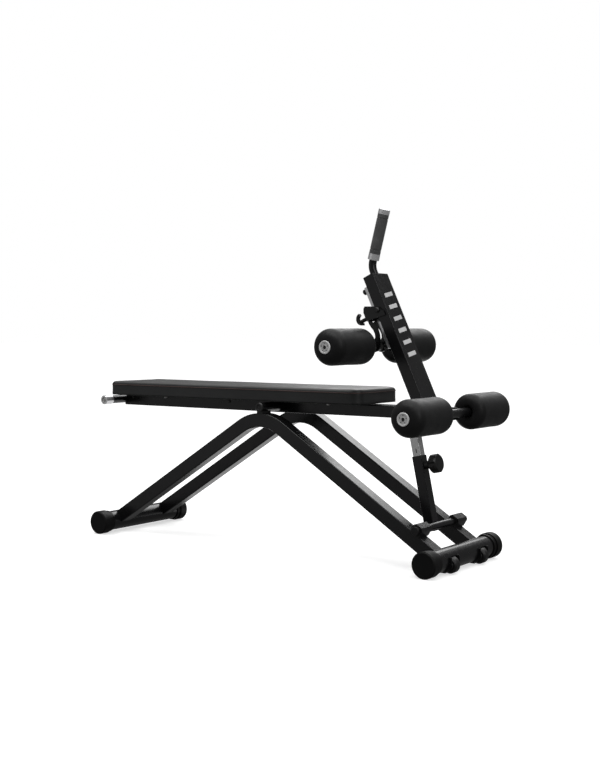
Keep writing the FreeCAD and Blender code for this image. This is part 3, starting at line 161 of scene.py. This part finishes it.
def foam_skin():
    """Smooth skin of closed-cell foam with fine pores."""
    made = Surface("foam_skin", Specular_IOR_Level=0.22, Sheen_Weight=0.03, Sheen_Roughness=0.45)
    made.colour(made.noise(18, 5), (0.0075, 0.0075, 0.0078), (0.0125, 0.0125, 0.0128))
    made.rough(made.noise(45, 4), 0.42, 0.54)
    made.bump(made.cells(1500), 0.22, 0.0002)
    made.bump(made.noise(180, 3), 0.08, 0.0006)
    return made.material


def grip_rubber():
    """Dark grey sponge rubber of the hand grip."""
    made = Surface("grip_rubber", Specular_IOR_Level=0.35, Sheen_Weight=0.15)
    made.colour(made.noise(30, 5), (0.075, 0.075, 0.076), (0.120, 0.120, 0.121))
    made.rough(made.noise(70, 4), 0.55, 0.70)
    made.bump(made.cells(1200), 0.30, 0.0003)
    return made.material


def bright_chrome():
    """Polished plating with faint polishing streaks."""
    made = Surface("bright_chrome", Metallic=0.62, Specular_IOR_Level=0.7)
    made.colour(made.noise(12, 3), (0.80, 0.80, 0.81), (0.90, 0.90, 0.91))
    made.rough(made.noise(40, 4, vector=made.stretched(6, 1, 1)), 0.08, 0.17)
    made.bump(made.noise(220, 2), 0.02, 0.0002)
    return made.material


def satin_steel():
    """Drawn steel tube with a dull plating and lines along its length."""
    made = Surface("satin_steel", Metallic=0.75)
    lines = made.noise(60, 5, vector=made.stretched(8, 8, 0.4))
    made.colour(lines, (0.60, 0.60, 0.60), (0.74, 0.74, 0.74))
    made.rough(lines, 0.20, 0.32)
    made.bump(lines, 0.05, 0.0002)
    return made.material


def zinc_plate():
    """Dull bright zinc of bolts and pins."""
    made = Surface("zinc_plate", Metallic=1.0)
    made.colour(made.noise(90, 4), (0.40, 0.40, 0.39), (0.56, 0.56, 0.55))
    made.rough(made.noise(150, 4), 0.28, 0.44)
    made.bump(made.noise(700, 3), 0.10, 0.0002)
    return made.material


def black_zinc():
    """Blackened steel of the visible screw heads."""
    made = Surface("black_zinc", Metallic=0.6)
    made.colour(made.noise(90, 4), (0.025, 0.025, 0.025), (0.05, 0.05, 0.05))
    made.rough(made.noise(150, 4), 0.30, 0.42)
    made.bump(made.noise(700, 3), 0.10, 0.0002)
    return made.material


def plywood():
    """Plywood with a very dark base colour, its long grain showing through."""
    made = Surface("plywood", Specular_IOR_Level=0.15)
    grain = made.noise(14, 6, 0.65, vector=made.stretched(1, 14, 14))
    made.colour(grain, (0.020, 0.015, 0.011), (0.045, 0.034, 0.025))
    made.rough(grain, 0.60, 0.78)
    made.bump(grain, 0.20, 0.0006)
    return made.material


def plain_plastic(name, low, high, rough=(0.30, 0.40)):
    """Smooth pale plastic of the hub caps and stripes."""
    made = Surface(name, Specular_IOR_Level=0.5)
    made.colour(made.noise(60, 3), low, high)
    made.rough(made.noise(140, 3), *rough)
    made.bump(made.noise(900, 2), 0.05, 0.0002)
    return made.material


MATERIALS = {
    "frame_paint": powder_coat(),
    "rubber_black": moulded_rubber(),
    "plastic_black": moulded_plastic(),
    "vinyl_black": artificial_leather("vinyl_top", (0.009, 0.009, 0.009), (0.015, 0.015, 0.015), 0.34),
    "foam_black": foam_skin(),
    "grip_grey": grip_rubber(),
    "chrome": bright_chrome(),
    "zinc": zinc_plate(),
    "board": plywood(),
    "hub": plain_plastic("hub_white", (0.74, 0.74, 0.74), (0.82, 0.82, 0.82)),
}
HUB_GREY = plain_plastic("hub_grey", (0.52, 0.52, 0.52), (0.62, 0.62, 0.62))
STRIPE_WHITE = plain_plastic("stripe_white", (0.62, 0.62, 0.62), (0.72, 0.72, 0.72), (0.35, 0.45))
VINYL_SIDE = artificial_leather("vinyl_side", (0.012, 0.013, 0.013), (0.020, 0.021, 0.021), 0.42)
PIPING = artificial_leather("piping", (0.060, 0.034, 0.030), (0.095, 0.055, 0.048), 0.40)
BLACK_ZINC = black_zinc()
SATIN_STEEL = satin_steel()


def paint_frame():
    """Give every CAD node the material of its slot in the record."""
    for entry in frame["record"]["subparts"]:
        item = frame["nodes"][entry["node"]]
        item.data.materials.clear()
        item.data.materials.append(MATERIALS[entry["material_slot"]])
    for name in ("rail_screws", "carriage_bolts", "guide_bolts", "pivot_axle", "pivot_end_caps"):
        frame["nodes"][name].data.materials[0] = BLACK_ZINC
    frame["nodes"]["strut_inner_tube"].data.materials[0] = SATIN_STEEL
    frame["nodes"]["rail_pivot_bush"].data.materials[0] = MATERIALS["frame_paint"]


# ---- mesh helpers -------------------------------------------------------------------------

def finish_mesh(name, bm, *materials, smooth=True):
    """Turn a bmesh into an object of the scene."""
    bmesh.ops.recalc_face_normals(bm, faces=bm.faces)
    mesh = bpy.data.meshes.new(name)
    bm.to_mesh(mesh)
    bm.free()
    for material in materials:
        mesh.materials.append(material)
    if smooth:
        mesh.shade_smooth()
    item = bpy.data.objects.new(name, mesh)
    bpy.context.scene.collection.objects.link(item)
    return item


def stitch(bm, ring, following):
    """Join two closed rings of equally many points with a strip of faces."""
    for index in range(len(ring)):
        after = (index + 1) % len(ring)
        bm.faces.new((ring[index], ring[after], following[after], following[index]))


def lathe(bm, profile, matrix, steps=64):
    """Turn a closed profile of (place along Y, radius) about a local Y axis."""
    rings = []
    for step in range(steps):
        angle = 2 * math.pi * step / steps
        side, up = math.cos(angle), math.sin(angle)
        rings.append([bm.verts.new(matrix @ Vector((r * side, y, r * up))) for y, r in profile])
    for ring, following in zip(rings, rings[1:] + rings[:1]):
        stitch(bm, ring, following)


def solid_plate(bm, lower, upper):
    """Close a thin plate between two rings of the same outline."""
    bm.faces.new(lower)
    bm.faces.new(upper)
    stitch(bm, lower, upper)


def arc(across, up, radius, start, end, steps):
    """Points on an arc about (across, up), angles in degrees."""
    points = []
    for step in range(steps + 1):
        angle = math.radians(start + (end - start) * step / steps)
        points.append((across + radius * math.cos(angle), up + radius * math.sin(angle)))
    return points


def smooth_by_angle(item, degrees=35):
    """Keep edges sharper than an angle crisp."""
    item.data.set_sharp_from_angle(angle=math.radians(degrees))


def subdivide(item, levels):
    """Add a subdivision surface."""
    modifier = item.modifiers.new("subdivision", "SUBSURF")
    modifier.levels = levels
    modifier.render_levels = levels


# ---- foam rollers and hubs ------------------------------------------------------------------

SHOULDER = 30 * MM
INNER_SHOULDER = 22 * MM
BORE_GAP = 0.35 * MM


def roller_profile(length, radius, bore):
    """Closed profile of a foam roller, from its outer end (0) to its inner end (length)."""
    dish = 2.5 * MM
    points = [(dish, bore), (0, bore + 8 * MM)]
    points += arc(SHOULDER, radius - SHOULDER, SHOULDER, 180, 90, 14)
    for step in range(1, 12):
        along = SHOULDER + (length - SHOULDER - INNER_SHOULDER) * step / 12
        points.append((along, radius - 0.25 * MM * math.sin(math.pi * step / 12)))
    points += arc(length - INNER_SHOULDER, radius - INNER_SHOULDER, INNER_SHOULDER, 90, 0, 14)
    points += [(length, bore + 8 * MM), (length - dish, bore)]
    for step in range(1, 6):
        points.append((length - dish - (length - 2 * dish) * step / 6, bore))
    return points


def make_roller(name, body):
    """Rebuild one foam roller as a soft, slightly uneven sleeve of foam."""
    low, high = (Vector(corner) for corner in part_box(name))
    middle = (low + high) / 2
    radius = (high.z - low.z) / 2
    outward = 1 if middle.y > 0 else -1
    length = high.y - low.y
    axle = frame["nodes"][name.split("_")[0] + "_axle"]
    bore = (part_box(axle.name)[1][2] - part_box(axle.name)[0][2]) / 2 + BORE_GAP
    start = Vector((middle.x, outward * max(abs(low.y), abs(high.y)), middle.z))
    place = Matrix.Translation(start) @ Matrix.Diagonal((1, -outward, 1, 1))
    bm = bmesh.new()
    lathe(bm, roller_profile(length, radius, bore), place, steps=96)
    for vert in bm.verts:
        offset = vert.co - Vector((middle.x, vert.co.y, middle.z))
        if offset.length > bore + 4 * MM:
            swell = noise.noise(vert.co * 22 + Vector((outward, middle.x * 9, 0)))
            vert.co += offset.normalized() * (swell - 0.5) * 0.7 * MM
    roller = finish_mesh(f"{name}_foam", bm, MATERIALS["foam_black"])
    smooth_by_angle(roller, 50)
    subdivide(roller, 1)
    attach(roller, body)
    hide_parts(name)


HUB_RADIUS = 17.7 * MM
HUB_DISC_RADIUS = 13.2 * MM
HUB_HOLE_RADIUS = 5 * MM
HUB_THICK = 2.6 * MM
HUB_FACE = 1.6 * MM
HUB_DOTS = 5
HUB_DOT_CIRCLE = 10 * MM
LATHE_CORE = 0.02 * MM


def hub_ring(bm, place):
    """White flange and its plug, with rounded rims."""
    edge = 1.1 * MM
    profile = [(0, HUB_DISC_RADIUS)]
    profile += arc(HUB_THICK - edge, HUB_DISC_RADIUS + edge, edge, -90, 0, 6)
    profile += arc(HUB_THICK - edge, HUB_RADIUS - edge, edge, 0, 90, 6)
    profile += [(0, HUB_RADIUS)]
    lathe(bm, profile, place, steps=72)


def hub_disc(bm, place):
    """Pale sunken disc with a fine raised collar round its hole."""
    face = HUB_FACE
    hole = HUB_HOLE_RADIUS
    rim = HUB_DISC_RADIUS - 0.05 * MM
    profile = [(-0.3 * MM, hole), (face + 0.4 * MM, hole), (face + 0.5 * MM, hole + 0.6 * MM),
               (face, hole + 1.2 * MM), (face, rim), (-0.3 * MM, rim)]
    lathe(bm, profile, place, steps=64)


def hub_darks(bm, place):
    """Dark spots round the disc and the sunken screw in its middle."""
    face = HUB_FACE
    spot = [(face - 0.6 * MM, LATHE_CORE), (face + 0.05 * MM, LATHE_CORE), (face + 0.12 * MM, 1.2 * MM),
            (face + 0.02 * MM, 1.5 * MM), (face - 0.6 * MM, 1.5 * MM)]
    for step in range(HUB_DOTS):
        angle = 2 * math.pi * (step / HUB_DOTS + 0.25)
        centre = Vector((math.cos(angle), 0, math.sin(angle))) * HUB_DOT_CIRCLE
        lathe(bm, spot, place @ Matrix.Translation(centre), steps=20)
    bore = HUB_HOLE_RADIUS - 0.05 * MM
    screw = [(-0.3 * MM, LATHE_CORE), (0.9 * MM, LATHE_CORE), (0.9 * MM, 1.1 * MM), (1.3 * MM, 1.5 * MM),
             (1.3 * MM, 2.6 * MM), (0.6 * MM, 3.4 * MM), (0.2 * MM, bore), (-0.3 * MM, bore)]
    lathe(bm, screw, place, steps=36)


def make_hubs(node, body):
    """Rebuild both hub caps of an axle from a white ring, a pale disc and dark details."""
    low, high = (Vector(corner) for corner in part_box(node))
    middle = (low + high) / 2
    layers = (("ring", hub_ring, MATERIALS["hub"]), ("disc", hub_disc, HUB_GREY),
              ("darks", hub_darks, MATERIALS["plastic_black"]))
    for label, draw, material in layers:
        bm = bmesh.new()
        for outward in (-1, 1):
            start = Vector((middle.x, outward * (high.y - HUB_THICK), middle.z))
            draw(bm, Matrix.Translation(start) @ Matrix.Diagonal((1, outward, 1, 1)))
        item = finish_mesh(f"{node}_{label}", bm, material)
        smooth_by_angle(item)
        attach(item, body)
        if label == "ring":
            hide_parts(node)


# ---- pad -----------------------------------------------------------------------------------

PAD_FRONT_CORNER = 30 * MM
PAD_REAR_CORNER = 11 * MM
PAD_SHRINK = 1.5 * MM
PAD_CAP = 1.1 * MM
SEAM_DROP = 12 * MM
PAD_CORNERS = ((1, 1, 0, PAD_FRONT_CORNER), (-1, 1, 90, PAD_REAR_CORNER),
               (-1, -1, 180, PAD_REAR_CORNER), (1, -1, 270, PAD_FRONT_CORNER))


def plan_ring(size, inset, spacing):
    """Points round the pad's plan at an inset, each with its outward direction."""
    half_x, half_y = size.x / 2, size.y / 2
    ends = []
    for sign_x, sign_y, start, corner in PAD_CORNERS:
        radius = max(corner - inset, 0)
        centre = Vector((sign_x * (half_x - inset - radius), sign_y * (half_y - inset - radius), 0))
        steps = max(5, round(corner * math.pi / 2 / (spacing / 2)))
        for step in range(steps + 1):
            angle = math.radians(start + 90 * step / steps)
            outward = Vector((math.cos(angle), math.sin(angle), 0))
            ends.append((centre + outward * radius, outward, step == steps))
    ring = []
    for (point, outward, leaves), (after, _, _) in zip(ends, ends[1:] + ends[:1]):
        along = size.x if abs(outward.y) > 0.9 else size.y
        count = round(along / spacing) if leaves else 1
        ring += [(point.lerp(after, step / count), outward) for step in range(count)]
    return ring


def pad_rings(height, half_width):
    """Inset and height of each ring of the cover, from the bottom edge to the top's middle line."""
    seam = height - SEAM_DROP
    rings = [(3.0 * MM, 0), (0.9 * MM, 0.9 * MM), (0, 3 * MM), (0, seam * 0.35), (0, seam * 0.7)]
    rings += [(0, seam - 3 * MM), (0.7 * MM, seam - 1 * MM), (1.3 * MM, seam), (0.7 * MM, seam + 1 * MM)]
    for step in range(7):
        angle = math.radians(90 * step / 6)
        rings.append((11 * MM * (1 - math.cos(angle)) + 0.2 * MM,
                      seam + 2 * MM + (SEAM_DROP - 3.5 * MM) * math.sin(angle)))
    for step in range(1, 9):
        share = step / 8
        inset = 11 * MM + (half_width - 11 * MM) * share
        rings.append((inset, height - 1.5 * MM + 1.5 * MM * math.sin(share * math.pi / 2)))
    return rings


def pad_shell(low, high):
    """Closed mesh of the cover before it is filled."""
    size = high - low
    middle = Vector(((low.x + high.x) / 2, (low.y + high.y) / 2, low.z))
    bm = bmesh.new()
    rings = []
    for inset, up in pad_rings(size.z, size.y / 2):
        lift = middle + Vector((0, 0, up))
        rings.append([bm.verts.new(lift + point) for point, _ in plan_ring(size, inset, 10 * MM)])
    for ring, above in zip(rings, rings[1:]):
        stitch(bm, ring, above)
    bmesh.ops.triangulate(bm, faces=[bm.faces.new(rings[0])])
    bmesh.ops.remove_doubles(bm, verts=bm.verts, dist=0.01 * MM)
    return bm


def fill_pad(pad, low, seam_z):
    """Swell the cover over its foam with a short cloth simulation, within a small cap."""
    pins = pad.vertex_groups.new(name="pins")
    pins.add([vert.index for vert in pad.data.vertices if vert.co.z < low.z + 1.5 * MM], 1.0, "REPLACE")
    before = [vert.co.copy() for vert in pad.data.vertices]
    cloth = pad.modifiers.new("cloth", "CLOTH")
    cloth.settings.use_pressure = True
    cloth.settings.uniform_pressure_force = 3
    cloth.settings.effector_weights.gravity = 0
    cloth.settings.vertex_group_mass = "pins"
    cloth.settings.quality = 5
    scene = bpy.context.scene
    for number in range(1, 21):
        scene.frame_set(number)
    graph = bpy.context.evaluated_depsgraph_get()
    after = [vert.co.copy() for vert in pad.evaluated_get(graph).data.vertices]
    pad.modifiers.clear()
    scene.frame_set(1)
    for vert, old, new in zip(pad.data.vertices, before, after):
        move = new - old
        held = math.exp(-((old.z - seam_z) / (3 * MM)) ** 2)
        limit = PAD_CAP * (1 - 0.75 * held)
        vert.co = old + (move.normalized() * min(move.length, limit) if move.length > 0 else move)
        vert.co.z = max(vert.co.z, low.z)


def pucker(pad, low, seam_z):
    """Let the cover gather a little along its seam and dimple below it."""
    for vert in pad.data.vertices:
        if vert.co.z < low.z + 2 * MM:
            continue
        near = math.exp(-((vert.co.z - seam_z) / (5 * MM)) ** 2)
        fine = noise.noise(Vector((vert.co.x * 55, vert.co.y * 55, 0)))
        broad = noise.noise(Vector((vert.co.x * 9, vert.co.y * 9, vert.co.z * 14)))
        vert.co.z += fine * near * 0.35 * MM + broad * 0.5 * MM


def colour_pad(pad, seam_z):
    """Use the side vinyl below the seam."""
    pad.data.materials.clear()
    pad.data.materials.append(MATERIALS["vinyl_black"])
    pad.data.materials.append(VINYL_SIDE)
    for face in pad.data.polygons:
        face.material_index = 1 if face.center.z < seam_z else 0


def seam_path(pad, size, middle, height):
    """Points where the cover's seam lies, all the way round, with their outward directions."""
    graph = bpy.context.evaluated_depsgraph_get()
    tree = BVHTree.FromObject(pad, graph)
    found = []
    for point, outward in plan_ring(size, 0, 5 * MM):
        start = Vector((middle.x, middle.y, height)) + point + outward * 20 * MM
        hit = tree.ray_cast(start, -outward, 60 * MM)[0]
        if hit:
            found.append((hit + outward * 0.2 * MM, outward))
    return found


def tube_round(name, path, radius, material, steps=8):
    """Closed tube of small radius along a ring of (point, outward) pairs."""
    bm = bmesh.new()
    up = Vector((0, 0, 1))
    rings = []
    for point, outward in path:
        ring = []
        for step in range(steps):
            angle = 2 * math.pi * step / steps
            ring.append(bm.verts.new(point + (outward * math.cos(angle) + up * math.sin(angle)) * radius))
        rings.append(ring)
    for ring, following in zip(rings, rings[1:] + rings[:1]):
        stitch(bm, ring, following)
    return finish_mesh(name, bm, material)


def make_hem(size, middle):
    """Vinyl folded under the board's edge, with a row of staples."""
    bm = bmesh.new()
    hem = ((2.5, -0.2), (2.5, -1.0), (22.0, -1.0), (23.0, -0.6), (23.0, -0.2))
    rings = []
    for inset, up in hem:
        lift = middle + Vector((0, 0, up * MM))
        rings.append([bm.verts.new(lift + point) for point, _ in plan_ring(size, inset * MM, 10 * MM)])
    for ring, following in zip(rings, rings[1:] + rings[:1]):
        stitch(bm, ring, following)
    bmesh.ops.remove_doubles(bm, verts=bm.verts, dist=0.01 * MM)
    strip = finish_mesh("pad_hem", bm, VINYL_SIDE)
    smooth_by_angle(strip)
    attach(strip, "bench")
    bm = bmesh.new()
    for point, outward in plan_ring(size, 15 * MM, 10 * MM)[::4]:
        along = Vector((-outward.y, outward.x, 0))
        place = Matrix.Translation(middle + point + Vector((0, 0, -1.25 * MM)))
        turn = Matrix((outward, along, (0, 0, 1))).transposed().to_4x4()
        bmesh.ops.create_cube(bm, matrix=place @ turn @ Matrix.Diagonal((0.8 * MM, 10 * MM, 0.7 * MM, 1)))
    staples = finish_mesh("pad_staples", bm, MATERIALS["zinc"], smooth=False)
    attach(staples, "bench")


def make_pad():
    """Rebuild the upholstered pad with a crowned top, a piped seam and a folded hem."""
    low, high = (Vector(corner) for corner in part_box("pad_cushion"))
    size = high - low
    middle = Vector(((low.x + high.x) / 2, (low.y + high.y) / 2, low.z))
    seam_z = high.z - SEAM_DROP
    shrink = Vector((PAD_SHRINK, PAD_SHRINK, 0))
    shell = pad_shell(low + shrink, high - shrink - Vector((0, 0, 1.0 * MM)))
    pad = finish_mesh("pad_cover", shell, MATERIALS["vinyl_black"])
    fill_pad(pad, low, seam_z)
    pucker(pad, low, seam_z)
    colour_pad(pad, seam_z - 0.5 * MM)
    subdivide(pad, 1)
    piping = tube_round("pad_piping", seam_path(pad, size, middle, seam_z - 0.8 * MM), 1.4 * MM, PIPING)
    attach(pad, "bench")
    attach(piping, "bench")
    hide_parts("pad_cushion")
    make_hem(size, middle)


# ---- small visible details ---------------------------------------------------------------------

POST_LEAN = math.radians(25)
POST_ORIGIN = Vector((394 * MM, 0, 600 * MM))
STRUT_TILT = math.radians(12)
STRUT_ORIGIN = Vector((532.44 * MM, 0, 111.20 * MM))
SLOT_PLACE = Vector((-24 * MM, 0, 209 * MM))
SLOT_HALF = 4.5 * MM
SLOT_RADIUS = 1.3 * MM
POST_FACE = 34.7 * MM
STRIPES = 6
STRIPE_LOW = -52 * MM
STRIPE_STEP = 36 * MM
STRIPE_HALF = 22 * MM
STRIPE_RISE = 8 * MM
STRIPE_TALL = 12 * MM


def slanted_frame(origin, lean):
    """Frame whose Z runs up a member that leans back and whose X leaves its front face."""
    return Matrix.Translation(origin) @ Matrix.Rotation(-lean, 4, "Y")


def make_stripes():
    """Plain pale bars on the post's front face."""
    front = slanted_frame(POST_ORIGIN, POST_LEAN)
    bm = bmesh.new()
    for step in range(STRIPES):
        base = STRIPE_LOW + STRIPE_STEP * step
        raised = base + STRIPE_RISE
        corners = ((-STRIPE_HALF, base), (STRIPE_HALF, raised),
                   (STRIPE_HALF, raised + STRIPE_TALL), (-STRIPE_HALF, base + STRIPE_TALL))
        lower = [bm.verts.new(front @ Vector((POST_FACE - 0.3 * MM, y, z))) for y, z in corners]
        upper = [bm.verts.new(front @ Vector((POST_FACE + 0.25 * MM, y, z))) for y, z in corners]
        solid_plate(bm, lower, upper)
    stripes = finish_mesh("post_stripes", bm, STRIPE_WHITE, smooth=False)
    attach(stripes, "bench")


def make_slot_shade():
    """Black plate of painted shade that stands for the dark inside of the slot in the inner tube's side,
    just above the sleeve.
    """
    tube = slanted_frame(STRUT_ORIGIN, STRUT_TILT)
    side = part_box("strut_inner_tube")[0][1]
    bm = bmesh.new()
    outline = []
    for end, start in ((SLOT_HALF, 0), (-SLOT_HALF, 180)):
        outline += arc(0, end, SLOT_RADIUS, start, start + 180, 8)
    rings = []
    for depth in (-0.12 * MM, 0.3 * MM):
        lift = SLOT_PLACE + Vector((0, side + depth, 0))
        rings.append([bm.verts.new(tube @ (lift + Vector((x, 0, z)))) for x, z in outline])
    solid_plate(bm, *rings)
    # Painted shade: the black rubber plate stands in for the shadowed inside of the slot, not for a part.
    slot = finish_mesh("strut_tube_slot", bm, MATERIALS["rubber_black"], smooth=False)
    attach(slot, "strut_inner")


def make_bar_plugs():
    """Pale plugs with a raised collar inside the rings at the ends of the rear handlebar."""
    low, high = (Vector(corner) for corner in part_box("handlebar_rings"))
    middle = (low + high) / 2
    profile = [(-6 * MM, LATHE_CORE), (-1.2 * MM, LATHE_CORE), (-1.2 * MM, 3.0 * MM), (-0.2 * MM, 3.6 * MM),
               (-0.2 * MM, 5.0 * MM), (-1.4 * MM, 5.8 * MM), (-1.4 * MM, 8.9 * MM), (-6 * MM, 8.9 * MM)]
    bm = bmesh.new()
    for outward in (-1, 1):
        start = Vector((middle.x, outward * high.y, middle.z))
        lathe(bm, profile, Matrix.Translation(start) @ Matrix.Diagonal((1, outward, 1, 1)), steps=48)
    plugs = finish_mesh("handlebar_plugs", bm, MATERIALS["zinc"])
    smooth_by_angle(plugs)
    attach(plugs, "bench")


# ---- camera, light and floor ------------------------------------------------------------------

ROOM_LIGHT = 0.14
CAMERA_PLACE = (2.1225, -2.8426, 0.6430)
CAMERA_TILT = math.radians(87.19)
CAMERA_TURN = math.radians(35.92)


def make_camera():
    """Put the camera in front of the bench on its right, a little above the pad."""
    data = bpy.data.cameras.new("camera")
    data.lens = 55.49
    data.sensor_width = 36
    data.clip_end = 100
    camera = bpy.data.objects.new("camera", data)
    camera.location = CAMERA_PLACE
    camera.rotation_euler = (CAMERA_TILT, 0, CAMERA_TURN)
    bpy.context.scene.collection.objects.link(camera)
    bpy.context.scene.camera = camera


def area_light(name, location, target, size, power):
    """Add a large soft light aimed at a point."""
    data = bpy.data.lights.new(name, "AREA")
    data.shape = "RECTANGLE"
    data.size, data.size_y = size
    data.energy = power
    light = bpy.data.objects.new(name, data)
    light.location = location
    light.rotation_euler = (Vector(target) - Vector(location)).to_track_quat("-Z", "Y").to_euler()
    bpy.context.scene.collection.objects.link(light)


def white_surroundings():
    """White surroundings that the camera sees in full and the bench only faintly."""
    world = bpy.data.worlds.new("studio")
    world.use_nodes = True
    tree = world.node_tree
    background = tree.nodes["Background"]
    background.inputs["Color"].default_value = (1, 1, 1, 1)
    ray = tree.nodes.new("ShaderNodeLightPath")
    strength = tree.nodes.new("ShaderNodeMapRange")
    strength.inputs["To Min"].default_value = ROOM_LIGHT
    strength.inputs["To Max"].default_value = 1.0
    tree.links.new(ray.outputs["Is Camera Ray"], strength.inputs["Value"])
    tree.links.new(strength.outputs["Result"], background.inputs["Strength"])
    bpy.context.scene.world = world


def card(name, location, target, size, power):
    """Add a softbox that the paint reflects but the camera doesn't see."""
    area_light(name, location, target, size, power)
    bpy.data.objects[name].visible_camera = False


def soft_sun(strength, spread, lean):
    """Add a very wide overhead light that leans a little towards the back."""
    data = bpy.data.lights.new("overhead", "SUN")
    data.energy = strength
    data.angle = math.radians(spread)
    light = bpy.data.objects.new("overhead", data)
    light.location = (0, 0, 3)
    light.rotation_euler = (math.radians(-lean), 0, 0)
    bpy.context.scene.collection.objects.link(light)


def make_floor():
    """Pale floor under the bench, a little luminous so that its shadows stay faint."""
    bm = bmesh.new()
    bmesh.ops.create_grid(bm, x_segments=2, y_segments=2, size=40)
    paint = Surface("studio_floor", Specular_IOR_Level=0.1, Emission_Color=(1, 1, 1, 1),
                    Emission_Strength=0.62)
    paint.colour(paint.noise(3, 2), (0.60, 0.60, 0.60), (0.63, 0.63, 0.63))
    paint.rough(paint.noise(5, 2), 0.75, 0.85)
    floor = finish_mesh("floor", bm, paint.material)
    floor.visible_glossy = False
    floor.visible_diffuse = False


def make_studio():
    """White room, wide overhead light and five soft cards round the bench."""
    white_surroundings()
    soft_sun(2.5, 85, 15)
    area_light("front_left", (-2.0, -3.0, 1.0), (0, 0, 0.4), (3.0, 3.0), 5)
    card("back_card", (-0.8, 2.6, 2.0), (0.2, 0, 0.3), (1.9, 1.5), 24)
    card("low_card", (-1.1, 1.7, 0.01), (-1.1, 1.7, 1.0), (2.6, 3.0), 20)
    card("corner_card", (3.3, -1.3, 2.2), (0.3, 0, 0.5), (0.8, 2.6), 24)
    card("top_card", (0.1, -1.3, 2.8), (0.1, 0, 0.4), (2.8, 0.5), 20)
    make_floor()
    bpy.context.scene.view_settings.view_transform = "Standard"


ROLLERS = (("upper_right_roller", "upper_right_foam"), ("upper_left_roller", "upper_left_foam"),
           ("lower_right_roller", "lower_right_foam"), ("lower_left_roller", "lower_left_foam"))

make_camera()
make_studio()
paint_frame()
for node, body in ROLLERS:
    make_roller(node, body)
make_hubs("upper_hub_caps", "carriage")
make_hubs("lower_hub_caps", "bench")
make_pad()
make_stripes()
make_slot_shade()
make_bar_plugs()
